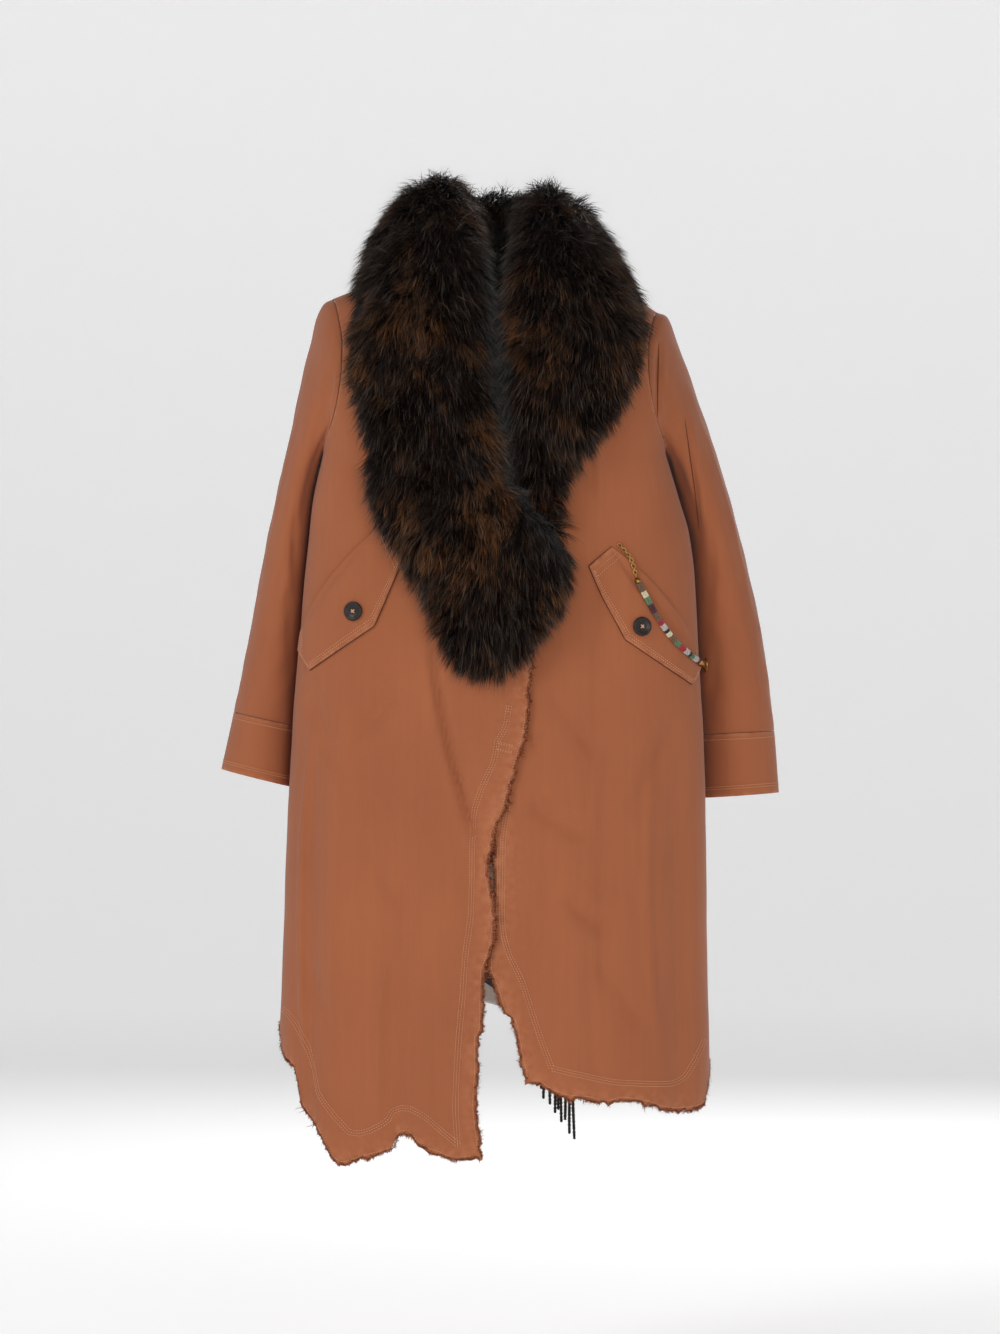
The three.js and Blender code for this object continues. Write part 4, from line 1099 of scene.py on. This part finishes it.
def build_fur(name, side, count, turns=(-0.35, math.pi + 0.35), shares=(0, 1)):
    """Hairs on part of a side of the collar, drawn together in clumps and coloured in patches."""
    roots, normal, share, turn = fur_roots(side, count, turns, shares)
    clumps = roots[random.choice(count, count // CLUMP_HAIRS, replace=False)]
    own = nearest(roots, clumps)
    outer = collar_place(side, share, np.zeros(count), FUR_DEPTH)
    inner_edge = collar_place(side, share, np.full(count, math.pi), FUR_DEPTH)
    outward = unit(outer - inner_edge) * np.cos(turn)[:, None]
    low = np.array([0, 0, -1.0])
    sway = np.stack([waver(roots, 80, 3), waver(roots, 80, 5), waver(roots, 70, 7)], axis=-1)
    clump_sway = random.normal(size=(len(clumps), 3))[own]
    loose = random.normal(size=roots.shape)
    guard = random.random(count) < GUARD_SHARE
    ways = (normal, low, outward, sway, clump_sway, loose)
    way = unit(sum(one_way * weight for one_way, weight in zip(ways, HAIR_WAY)))
    length = random.normal(HAIR_LENGTH, HAIR_SPREAD, count) * (1 + 0.12 * waver(roots, 50, 9))
    length = length * np.where(guard, GUARD_LENGTH, 1)
    pull = (clumps[own] - roots) / length[:, None] * np.where(guard, GUARD_PULL, CLUMP_PULL)[:, None]
    bend = low * DROOP + pull + clump_sway * 0.1
    reach = (way[:, 1] + unit(way + bend)[:, 1]) / 2 * length
    room = np.where(reach < 0, roots[:, 1] - FUR_FRONT, FUR_BACK - roots[:, 1])
    length = length * np.clip(room / np.maximum(np.abs(reach), 0.1), 0.3, 1)
    patch = 0.5 * waver(roots, 110, 11) + 0.5 * waver(roots, 45, 13)
    patch = patch + 0.3 * random.normal(size=len(clumps))[own]
    lower = 0.35 + 0.65 * smoothstep(share, 0.3, 0.62)
    tone = lower * smoothstep(patch + 0.3 * random.normal(size=count), 0.02, 1.15)
    inner = smoothstep(turn + 0.12 * waver(roots, 40, 15), *GREY_TURNS)
    cool = inner * smoothstep(-share, -0.86, -0.76)
    pale = np.where(guard, random.uniform(0.1, 0.6, count), 0) * (1 - cool)
    width = np.where(guard, 0.6, random.uniform(0.8, 1.2, count))
    values = {"tone": tone, "cool": cool, "pale": pale}
    points, faces, values = blades(roots, way, bend, length, width, values)
    new_piece(name, points, faces, FUR, "fur", smooth=False, values=values)


def round_tube(path, radius, sides=6):
    """Points and triangles of a closed tube along a path, with one radius or one for each point."""
    path = np.asarray(path, float)
    ahead = unit(np.gradient(path, axis=0))
    up = np.array([0.03, -1, 0.07]) if abs(ahead[:, 1]).mean() < 0.8 else np.array([0.03, 0.05, 1])
    a = unit(np.cross(ahead, up))
    b = np.cross(ahead, a)
    turn = np.linspace(0, 2 * np.pi, sides, endpoint=False)
    size = np.asarray(radius) * np.ones(len(path))
    out = np.cos(turn)[None, :, None] * a[:, None] + np.sin(turn)[None, :, None] * b[:, None]
    rings = path[:, None] + size[:, None, None] * out
    count = len(path) * sides
    first = np.arange(sides)
    last = first + count - sides
    caps = [np.stack([np.roll(first, -1), first, 0 * first + count], axis=-1),
            np.stack([last, np.roll(last, -1), 0 * last + count + 1], axis=-1)]
    faces = np.vstack([split(grid_faces(len(path), sides, True)), *caps])
    return np.vstack([rings.reshape(-1, 3), path[:1], path[-1:]]), faces


def joined(parts):
    """Many meshes of triangles as one."""
    points, faces, start = [], [], 0
    for p, f in parts:
        points.append(p)
        faces.append(f + start)
        start += len(p)
    return np.vstack(points), np.vstack(faces)


def distances(path):
    """How far along a path each of its points lies."""
    return np.concatenate([[0], np.cumsum(np.linalg.norm(np.diff(path, axis=0), axis=1))])


def read_path(path, gone, at):
    """The places at some distances along a path, whose own points are at the distances gone."""
    return np.stack([np.interp(at, gone, column) for column in path.T], axis=-1)


def evenly(path, step):
    """Points along a path at an even step, and the way it goes there."""
    gone = distances(path)
    at = np.arange(step / 2, gone[-1], step)
    ahead = read_path(path, gone, at + 0.5) - read_path(path, gone, at - 0.5)
    return read_path(path, gone, at), unit(ahead)


# A stitch, and how far it lies off the cloth
STITCH_STEP, STITCH_LENGTH, STITCH_WIDTH = 3.4, 2.9, 0.55
STITCH_LIFT, BACK_STITCH_LIFT = 0.3, 0.35


def stitches(name, paths):
    """Topstitching: each stitch is a slim double cone that lies on the cloth."""
    places, ways = (np.vstack(both) for both in zip(*(evenly(path, STITCH_STEP) for path in paths)))
    a = unit(np.cross(ways, [0.1, -1, 0.2])) * STITCH_WIDTH
    b = unit(np.cross(ways, a)) * STITCH_WIDTH
    tip = ways * STITCH_LENGTH / 2
    points = np.stack([places - tip, places + tip, places + a, places + b, places - a, places - b], axis=1)
    start = np.arange(len(places))[:, None] * 6
    around = [(2, 3), (3, 4), (4, 5), (5, 2)]
    faces = np.concatenate([start + [1, p, q] for p, q in around] + [start + [0, q, p] for p, q in around])
    new_piece(name, points.reshape(-1, 3), faces, THREAD, "canvas")


# A front's raw edge shows below this z, down to its foot, and its hem starts at an angle in degrees
EDGE_TOP = -500
EDGE_FOOT = {RIGHT: -1118, LEFT: -1024}
HEM_START = {RIGHT: -3, LEFT: 6}


def raw_edge(side, lift):
    """A front's raw edge and its hem as two paths."""
    z = np.linspace(EDGE_TOP, EDGE_FOOT[side], 500)
    around = np.linspace(HEM_START[side], side * SIDE_DEGREES, 500)
    edge = front_point(side, edge_x(side, z), z, lift)
    return [edge, cloth_point(side, np.radians(around), hem_height(side, around) - CHEST_Z, lift)]


def raw_back_hem(lift):
    around = np.linspace(SIDE_DEGREES + 0.5, 360 - SIDE_DEGREES - 0.5, 700)
    return cloth_point(0, np.radians(around), hem_height(0, around) - CHEST_Z, lift)


# The middle thread of the three that follow the raw edges, and the hem's thread near the side seams, as seen
# from the front, with corners where they meet
TOPSTITCH = {
    RIGHT: [
        [(12.7, -549.9), (8.9, -577.7), (-2.5, -596.6), (-5, -618), (-21.4, -653.4), (-31.5, -684.9),
         (-34, -718.9), (-35, -770), (-36.5, -816.1), (-42.8, -865.3), (-45.4, -913.2), (-50.4, -972.5),
         (-52.9, -1017.9), (-54.2, -1058.2), (-51.4, -1104)],
        [(-276, -936), (-262, -948), (-247.2, -977.5), (-232, -1017.9), (-227, -1039.3), (-205.6, -1067.1),
         (-185.4, -1091), (-169, -1089.8), (-143.7, -1075.9), (-137, -1062), (-131.1, -1057), (-111, -1058.2),
         (-93.3, -1067.1), (-64.3, -1091), (-50, -1103)],
    ],
    LEFT: [
        [(-2, -560), (-2, -640), (11.4, -669.8), (5, -720.2), (4, -780), (3.3, -816.1), (4.6, -838.8),
         (12.7, -865.3), (29, -896.8), (41.7, -937.1), (53, -971.2), (66, -1007)],
        [(66, -1007), (94.6, -1014.1), (145.1, -1025.4), (186.7, -1028), (220.8, -1029.2), (237.2, -1025.4),
         (249.8, -1002.7), (262, -975)],
    ],
}
# The buttonhole's rows of thread, as x and z of both ends
BUTTONHOLE = [
    (-1.5, -596.6, 19, -601), (-1.8, -598.2, 18.6, -602.6),
    (-2.9, -604.4, 17.7, -608.8), (-3.2, -606, 17.4, -610.4),
]
# How far apart the three threads run, how far the fourth is from the raw edge, and the back's from its hem
THREADS_APART = 3.2
NEAR_FRAY = 5
BACK_THREADS = (22, 25, 28, NEAR_FRAY)
# Where the threads round a cuff run along the sleeve, and those round a flap inside its edge
CUFF_THREADS = (CUFF_START + 0.012, 0.979, 0.984)
FLAP_THREADS = (0.06, 0.1)


def beside(points, off):
    """The same line moved sideways in its plane."""
    points = np.asarray(points, float)
    ahead = unit(np.gradient(points, axis=0))
    return points + np.stack([-ahead[:, 1], ahead[:, 0]], axis=-1) * off


def finely(points, step=4.0):
    """The same line with a point about every step."""
    points = np.asarray(points, float)
    gone = distances(points)
    return read_path(points, gone, np.linspace(0, gone[-1], max(int(gone[-1] / step), 2)))


def back_hem_path(inset):
    """A thread's path along the back's hem, smoother than the hem itself."""
    around = np.linspace(SIDE_DEGREES + 1, 359 - SIDE_DEGREES, 600)
    soft = np.mean([BACK_HEM(around + k, "z") for k in (-3, -1.5, 0, 1.5, 3)], axis=0)
    return cloth_point(0, np.radians(around), soft + inset - CHEST_Z, BACK_STITCH_LIFT)


def front_threads(side):
    """The threads' paths on a front: three abreast, one near the raw edge, and the buttonhole's."""
    paths = []
    for line in TOPSTITCH[side]:
        for off in (-THREADS_APART, 0, THREADS_APART):
            x, z = finely(beside(finely(line, 12), off)).T
            paths.append(front_point(side, x, z, STITCH_LIFT))
    z = np.linspace(-560, {RIGHT: -1108, LEFT: -1018}[side], 300)
    x = EDGE[side](z, "x") + EDGE_SHIFT[side] + side * NEAR_FRAY
    paths.append(front_point(side, x, z, STITCH_LIFT))
    around = np.linspace({RIGHT: -5, LEFT: 8}[side], side * (SIDE_DEGREES - 1), 300)
    level = HEM[side](around, "z") + NEAR_FRAY - CHEST_Z
    paths.append(cloth_point(side, np.radians(around), level, STITCH_LIFT))
    if side == RIGHT:
        for x0, z0, x1, z1 in BUTTONHOLE:
            t = np.linspace(0, 1, 20)
            paths.append(front_point(side, mix(x0, x1, t), mix(z0, z1, t), STITCH_LIFT))
    return paths


def flap_threads(side):
    """The threads' paths round a flap's free edges."""
    paths = []
    for inset in FLAP_THREADS:
        u, v = np.linspace(0.03, 0.97, 200), np.linspace(inset, 0.95, 120)
        lines = [(u, inset + 0 * u)] + [(k + 0 * v, v) for k in (inset * 0.7, 1 - inset * 0.7)]
        paths += [flap_place(side, *line, flap_top(*line, STITCH_LIFT)) for line in lines]
    return paths


def build_stitches():
    for side in (RIGHT, LEFT):
        stitches("stitches_front_" + SIDE_NAMES[side], front_threads(side))
        rings = sleeve_grid(side, np.array(CUFF_THREADS))
        rings = rings + grid_normals(rings, True) * STITCH_LIFT
        stitches("stitches_cuff_" + SIDE_NAMES[side], [np.vstack([ring, ring[:1]]) for ring in rings])
        stitches("stitches_flap_" + SIDE_NAMES[side], flap_threads(side))
    stitches("stitches_back", [back_hem_path(inset) for inset in BACK_THREADS])


def on_sleeve(rings, x, z):
    """The front surface of a sleeve at places given as seen from the front."""
    points = rings[grid_normals(rings, True)[..., 1] < -0.1]
    near = (points[None, :, 0] - x[:, None]) ** 2 + (points[None, :, 2] - z[:, None]) ** 2
    weight = 1 / (near + 4) ** 2
    return np.stack([x, (weight * points[None, :, 1]).sum(axis=1) / weight.sum(axis=1), z], axis=-1)


def build_painted_shadow_lines():
    """Painted shadow: dark tubes at each flap's seam, under its free edges and in sleeve folds, where shade
    falls.
    """
    parts = []
    for side in (RIGHT, LEFT):
        (x0, z0, x1, z1), _ = FLAPS[side]
        t = np.linspace(0, 1, 60)
        parts.append(round_tube(front_point(side, mix(x0, x1, t), mix(z0, z1, t), 0.6), 0.8))
        for u, v in ((t, 0 * t), (0 * t, t), (1 + 0 * t, t)):
            parts.append(round_tube(flap_place(side, u, v, 0.9 + 0 * t), 1.0))
    rings = sleeve_rings(LEFT)
    for line, _, _ in SLEEVE_FOLDS:
        x, z = finely(line, 6).T
        parts.append(round_tube(on_sleeve(rings, x, z), taper(len(x), 0.7)))
    points, faces = joined(parts)
    new_piece("painted_shadow_lines", points, faces, SEAM_SHADE, "canvas")


def taper(count, radius):
    """Radii of a tube that is thickest at its middle."""
    return radius * np.sqrt(np.sin(np.linspace(0.05, math.pi - 0.05, count)))


# Fibres: one every so many millimetres of edge, in tufts so far apart, and how far the roots are from the
# outer face, first of those that stick out past the edge and then of those that lie on the cloth
FRAY_STEP = 0.3
TUFT_APART = 4.6
FRAY_LIFTS = (-0.8, 0.3)
# Which way the fibres point, as x and z, on the right edge and hem, the left edge and hem, and the back hem
FRAY_WAYS = [(1, 0.2), (0, -1), (-1, 0.2), (0, -1), (0, -1)]


def build_fray():
    """Loose fibres along the raw edges: half of them stick out past the edge, and half lie near it."""
    roots, ways, on_cloth, tuft = [], [], [], []
    for lift in FRAY_LIFTS:
        paths = [*raw_edge(RIGHT, lift), *raw_edge(LEFT, lift), raw_back_hem(lift)]
        for path, (x, z) in zip(paths, FRAY_WAYS):
            places, _ = evenly(path, FRAY_STEP)
            count = len(places)
            gone = np.arange(count) * FRAY_STEP
            tuft.append(0.5 + 0.5 * np.sin(2 * np.pi * (gone / TUFT_APART + 0.5 * np.sin(gone / 17))))
            way = np.tile([x * 0.8, 0, z * 0.8], (count, 1))
            inside = 1.2 if lift < 0 else random.uniform(0.4, 3.6, (count, 1))
            roots.append(places - way * inside + random.normal(size=(count, 3)) * [0.5, 0.2, 0.5])
            ways.append(way * (1 if lift < 0 else 0.7))
            on_cloth.append(np.full(count, lift > 0))
    roots, ways, on_cloth, tuft = (np.concatenate(part) for part in (roots, ways, on_cloth, tuft))
    count = len(roots)
    loose = random.normal(size=(count, 3)) * [0.5, 0.3, 0.5]
    loose[:, 1] += np.where(roots[:, 1] < 0, -1.0, 1.0) * on_cloth * 0.35
    way = unit(ways + loose)
    short = random.uniform(1.6, 3.6, count)
    thick = waver(roots, 30, 21) * 0.5 + 1
    long = random.gamma(4.5, 0.75, count) * thick * (0.5 + 0.8 * tuft) + 1.2
    bend = random.normal(size=way.shape) * 0.8
    tone = random.random(count) * (0.15 + 0.85 * tuft)
    width = random.uniform(0.5, 0.95, count)
    points, faces, values = blades(roots, way, bend, np.where(on_cloth, short, long), width, {"tone": tone})
    new_piece("fray", points, faces, FRAY, "canvas", smooth=False, values=values)


BUTTON_RADIUS = 12.2
# A button's outline: how far a point is inside the rim, or from the axis at the dished middle, and its height
BUTTON_RIM = [(1.2, 0), (0.3, 0.6), (0, 1.6), (0.1, 2.6), (0.9, 3.6), (2, 3.9), (3.4, 3.3), (4.6, 2.7)]
BUTTON_DISH = [(4, 2.4), (0.01, 2.3)]
# A button's four holes: how far they are from its middle, their radius, and where the thread in them lies
HOLES_OUT = 2.9
HOLE_RADIUS = 1.15
THREAD_RADIUS = 0.42
THREAD_SHIFTS = (-0.45, 0.45)


def diagonal(number):
    """The direction of a button's hole."""
    angle = math.pi / 4 + number * math.pi / 2
    return np.array([math.cos(angle), math.sin(angle), 0])


def button_thread(number, shift):
    """A thread that joins two opposite holes."""
    t = np.linspace(-1, 1, 9)[:, None]
    line = t * HOLES_OUT * diagonal(number) + shift * diagonal(number + 1)
    line[:, 2] = 2.3 + 0.9 * (1 - t[:, 0] ** 4) + 0.3 * number
    return round_tube(line, THREAD_RADIUS)


def build_button(side):
    """A button on its flap, with dark plugs in its holes as painted shade, and the thread in them."""
    word = SIDE_NAMES[side]
    profile = np.array([(0.01, 0), *((BUTTON_RADIUS - inside, z) for inside, z in BUTTON_RIM), *BUTTON_DISH])
    turn = np.linspace(0, 2 * np.pi, 64, endpoint=False)
    radius, height = profile[:, :1], profile[:, 1:]
    rings = np.stack([radius * np.cos(turn), radius * np.sin(turn), height + 0 * turn], axis=-1)
    x, z = BUTTONS[side]
    foot = front_point(side, x, z, FLAP_LIFT[1] + FLAP_WALL + 1.6)
    normal = normals_at(angle_at(x, z), z - CHEST_Z)
    across = unit(np.cross([0, 0, 1.0], normal))
    turned = np.stack([across, np.cross(normal, across), normal])

    def place(points):
        return points @ turned + foot

    faces = grid_faces(len(profile), len(turn), True)
    piece = new_piece("horn_button_" + word, place(rings.reshape(-1, 3)), faces, HORN, "button")
    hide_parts("button_" + word)
    spots = [HOLES_OUT * diagonal(number) for number in range(4)]
    # Painted shade: the holes are not cut; a dark plug in each stands in for the shade inside it
    holes = [round_tube([spot + [0, 0, 1.5], spot + [0, 0, 2.45]], HOLE_RADIUS, 14) for spot in spots]
    threads = [button_thread(number, shift) for number in (0, 1) for shift in THREAD_SHIFTS]
    for label, parts, material in (("holes", holes, SKIN), ("thread", threads, THREAD)):
        points, faces = joined(parts)
        new_piece(f"button_{label}_{word}", place(points), faces, material, "button")


# The strand's cord from its top to its ring, as x and z, how far it lies from the body, and its radius
STRAND = [(174, -396), (185.4, -418), (195.6, -437), (207, -455), (219.7, -471), (236, -486), (249, -497)]
STRAND_LIFT = 8.4
CORD_RADIUS = 2.5
# The chain, as x, z and the distance from the body
CHAIN = [(151, -347, 2.6), (159, -357, 4.6), (165, -366, 6.4), (169, -380, 7), (171, -389, 7)]
# The ring seen on edge at the strand's end, as x and z
RING_PLACE = (257, -500)
# The strand's bands of beads: where each ends along it, and its colour
BANDS = [
    (0.08, (112, 84, 60)), (0.14, (222, 206, 170)), (0.21, (92, 126, 94)), (0.29, (74, 26, 34)),
    (0.37, (114, 86, 64)), (0.42, (172, 34, 50)), (0.475, (192, 184, 180)), (0.5, (28, 26, 26)),
    (0.54, (228, 212, 176)), (0.615, (114, 84, 58)), (0.67, (92, 126, 94)), (0.745, (168, 34, 44)),
    (0.79, (192, 184, 180)), (0.825, (28, 26, 26)), (0.865, (92, 126, 94)), (0.93, (190, 184, 178)),
    (1.01, (86, 28, 38)),
]


def smooth_path(points, count):
    """A smooth path of count points through the given ones."""
    points = np.asarray(points, float)
    at = np.linspace(0, 1, len(points))
    read = Table("t x y z", np.column_stack([at, points]))
    t = np.linspace(0, 1, count)
    return np.stack([read(t, k) for k in "xyz"], axis=-1)


# Beads round the cord: rows so far apart, beads in a row, their distance from its axis, size and half length
ROW_STEP = 2.05
BEADS_AROUND = 8
BEADS_OUT = 2.85
BEAD_SIZE = 1.22
BEAD_HALF = 0.95


def bead(spot, way, out, size):
    """One barrel-shaped bead beside the cord, whose axis runs along it."""
    rise = np.linspace(-1, 1, 5)[:, None]
    turn = np.linspace(0, 2 * np.pi, 7)[:-1]
    radius = size * np.sqrt(1 - 0.55 * rise * rise)
    rings = radius[..., None] * (np.cos(turn)[:, None] * out + np.sin(turn)[:, None] * np.cross(way, out))
    rings = rings + (spot + out * BEADS_OUT + way * rise * BEAD_HALF)[:, None]
    return rings.reshape(-1, 3), split(grid_faces(5, 6, True))


def build_beads():
    """The strand: a cord with rows of small beads round it, in bands of colour."""
    path = smooth_path([off_front(x, z, STRAND_LIFT) for x, z in STRAND], 60)
    points, faces = round_tube(path, CORD_RADIUS, 10)
    piece = new_piece("bead_cord", points, faces, SKIN, "beads")
    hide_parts("bead_strand")
    spots, ways = evenly(path, ROW_STEP)
    a = unit(np.cross(ways, [0.1, -1, 0.2]))
    b = np.cross(ways, a)
    turn = np.linspace(0, 2 * np.pi, BEADS_AROUND, endpoint=False)
    parts, colours = [], []
    for k, (spot, way) in enumerate(zip(spots, ways)):
        share = k / (len(spots) - 1)
        colour = next(colour for end, colour in BANDS if share <= end)
        for angle in turn + k * np.pi / BEADS_AROUND:
            out = math.cos(angle) * a[k] + math.sin(angle) * b[k]
            parts.append(bead(spot, way, out, BEAD_SIZE * random.uniform(0.92, 1.05)))
            shade = random.uniform(0.82, 1.1)
            colours.append(np.tile(np.array(linear(*colour)) * shade, (len(parts[-1][0]), 1)))
    points, faces = joined(parts)
    values = dict(zip(BEAD_CHANNELS, np.vstack(colours).T))
    new_piece("seed_beads", points, faces, BEADS, "beads", values=values)


LINK_SIDES, WIRE_SIDES = 16, 6


def link_mesh(centre, way, across, long, wide, wire):
    """One oval link of a chain, whose half length, half width and wire radius are given."""
    turn = np.linspace(0, 2 * np.pi, LINK_SIDES, endpoint=False)[:, None]
    small = np.linspace(0, 2 * np.pi, WIRE_SIDES, endpoint=False)[None, :, None]
    up = np.cross(way, across)
    ring = np.cos(turn) * way * long + np.sin(turn) * across * wide
    out = unit(np.cos(turn) * way * wide + np.sin(turn) * across * long)
    points = centre + ring[:, None] + wire * (np.cos(small) * out[:, None] + np.sin(small) * up)
    faces = grid_faces(LINK_SIDES + 1, WIRE_SIDES, True) % (LINK_SIDES * WIRE_SIDES)
    return points.reshape(-1, 3), split(faces)


# The chain's links: how far apart, and their half length, half width and wire. The strand's ring has the same
# three numbers, and the caps at the strand's ends have radii from their thin end on
LINK_STEP = 4.0
LINK_SIZE = (3.0, 2.2, 0.8)
RING_SIZE = (8, 5, 1.1)
CAP_RADII = [0.8, 1.6, 2.4, 3.4, 3.9, 4, 4, 3.7]
# The lower cap, as x and z
CAP_PLACES = [(247, -495.5), (251, -499), (254, -501.5)]


def build_chain():
    """The chain, the caps at both ends of the strand, and its ring."""
    path = smooth_path([off_front(*place) for place in CHAIN], 40)
    spots, ways = evenly(path, LINK_STEP)
    parts = []
    for k, (spot, way) in enumerate(zip(spots, ways)):
        across = unit(np.cross(way, [0, -1, 0.2]))
        if k % 2:
            across = np.cross(way, across)
        parts.append(link_mesh(spot, way, across, *LINK_SIZE))
    first = off_front(*STRAND[0], STRAND_LIFT)
    parts.append(round_tube(smooth_path([path[-1], (path[-1] + first) / 2, first], 8), CAP_RADII, 12))
    last = [off_front(x, z, STRAND_LIFT) for x, z in CAP_PLACES]
    parts.append(round_tube(smooth_path(last, 8), CAP_RADII[::-1], 12))
    ring = off_front(*RING_PLACE, STRAND_LIFT)
    parts.append(link_mesh(ring, np.array([0, 0, 1.0]), np.array([0.3, -0.95, 0]), *RING_SIZE))
    points, faces = joined(parts)
    piece = new_piece("chain_links", points, faces, GOLD, "chain_metal")
    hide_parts("bead_chain")


# Fringe: where its first and last root are across, and each strand's tip, as x and z
FRINGE_ROOTS = (46, 96)
FRINGE_ABOVE_HEM = 5
ROOT_LOOKUP_Z = -985.0
FRINGE_TIPS = [(44, -1040), (49.5, -1048), (55, -1052), (58.6, -1065), (66, -1072), (73, -1083), (78, -1079),
               (80.8, -1095), (86, -1092), (92.5, -1110), (97.7, -1117)]


# A strand is two yarns twisted round each other: their radius at root and tip, how far each is from the
# strand's middle, the length of a twist, and how far the strand hangs inside the back
YARN_RADII = (1.6, 1.3)
YARN_OUT = 1.1
TWIST_LENGTH = 9
FRINGE_INSIDE = 8


def build_fringe():
    """The fringe's strands, from the back's hem down."""
    parts = []
    for k, (x, z) in enumerate(FRINGE_TIPS):
        root_x = mix(*FRINGE_ROOTS, k / (len(FRINGE_TIPS) - 1))
        t = np.linspace(0, 1, 44)
        root_angle = math.degrees(math.pi - angle_at(root_x, ROOT_LOOKUP_Z))
        root_z = float(BACK_HEM(root_angle, "z")) + FRINGE_ABOVE_HEM
        across, height = mix(root_x, x, t) + 0.7 * np.sin(t * 5 + k * 2.1), mix(root_z, z, t)
        back_y = on_body(math.pi - angle_at(across, height), height - CHEST_Z)[:, 1]
        path = np.stack([across, back_y - FRINGE_INSIDE, height], axis=-1)
        twist = t * abs(height[-1] - height[0]) / TWIST_LENGTH * 2 * np.pi
        for turn in (0, math.pi):
            off = np.stack([np.cos(twist + turn), np.sin(twist + turn), 0 * t], axis=-1) * YARN_OUT
            parts.append(round_tube(path + off, mix(*YARN_RADII, t**4), 7))
    points, faces = joined(parts)
    piece = new_piece("fringe_strands", points, faces, YARN, "fringe")
    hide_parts("fringe")


# The room, in metres and watts. A light has a place, the point it aims at, its power and its size
LIGHTS = {
    "key": ((-3.3, -3.9, 1.9), (0, 0, -0.5), 84, 1.5),
    "fill": ((1.3, -6.2, 0.2), (0, 0, -0.6), 100, 1.8),
    "rear": ((0.9, 4.4, 1.8), (0, 0, -0.5), 90, 2.0),
}
WORLD_STRENGTH = 0.28
FLOOR_GLOW = 0.26
CAMERA_PLACE = (0.0013, -8.075, -0.502)
CAMERA_LENS = 170
CAMERA_SENSOR = 36
# The floor, in millimetres: its height, where it bends up, the bend's radius, and how high its rim is
FLOOR_Z = -1420.0
FLOOR_FLAT = 9000
FLOOR_BEND = 3000
FLOOR_RIM = 7000.0


def area_light(name, place, aim, power, size):
    data = bpy.data.lights.new(name, "AREA")
    data.energy = power
    data.size = size
    light = bpy.data.objects.new(name, data)
    bpy.context.scene.collection.objects.link(light)
    light.location = place
    way = np.array(aim) - np.array(place)
    light.rotation_euler = (math.atan2(math.hypot(way[0], way[1]), -way[2]), 0, math.atan2(-way[0], way[1]))


def build_floor():
    """A flat floor whose far rim bends up into a wall on every side."""
    glow = {"Emission_Color": (1, 1, 1, 1), "Emission_Strength": FLOOR_GLOW}
    paint = plain_paint("floor", (0.88, 0.88, 0.88), 0.95, **glow)
    bend = np.linspace(0, math.pi / 2, 20)
    outer = FLOOR_FLAT + FLOOR_BEND
    radius = np.concatenate([[1.0, 4000.0], FLOOR_FLAT + FLOOR_BEND * np.sin(bend), [outer]])
    height = np.concatenate([[0, 0], FLOOR_BEND * (1 - np.cos(bend)), [FLOOR_RIM]]) + FLOOR_Z
    turn = np.linspace(0, 2 * np.pi, 96, endpoint=False)
    radius, height = radius[:, None], height[:, None]
    bowl = np.stack([radius * np.cos(turn), radius * np.sin(turn), height + 0 * turn], axis=-1)
    piece = new_piece("floor", bowl.reshape(-1, 3), grid_faces(*bowl.shape[:2], True), paint, "canvas")


def build_camera():
    data = bpy.data.cameras.new("camera")
    data.lens = CAMERA_LENS
    data.sensor_fit = "VERTICAL"
    data.sensor_height = CAMERA_SENSOR
    camera = bpy.data.objects.new("camera", data)
    bpy.context.scene.collection.objects.link(camera)
    camera.location = CAMERA_PLACE
    camera.rotation_euler = (math.radians(90), 0, 0)
    bpy.context.scene.camera = camera


def build_room():
    """A white room: its world, floor, lights and camera."""
    scene = bpy.context.scene
    world = bpy.data.worlds.new("soft")
    world.use_nodes = True
    background = world.node_tree.nodes["Background"]
    background.inputs["Color"].default_value = (1, 1, 1, 1)
    background.inputs["Strength"].default_value = WORLD_STRENGTH
    scene.world = world
    scene.view_settings.view_transform = "Standard"
    build_floor()
    for name, settings in LIGHTS.items():
        area_light(name, *settings)
    build_camera()


build_cloth()
build_seam_tapes()
for one in (RIGHT, LEFT):
    build_flap(one)
    build_button(one)
    build_collar_skin(one)
build_fur("fur_right_low", RIGHT, 47000, shares=(0.45, 1))
build_fur("fur_right_top", RIGHT, 36500, shares=(0, 0.46))
build_fur("fur_left", LEFT, 50000)
for one in (RIGHT, LEFT):
    build_fur("fur_nape_" + SIDE_NAMES[one], one, 6000, turns=(-1.45, -0.2), shares=(0, 0.36))
build_beads()
build_chain()
build_fringe()
build_stitches()
build_painted_shadow_lines()
build_fray()
build_room()
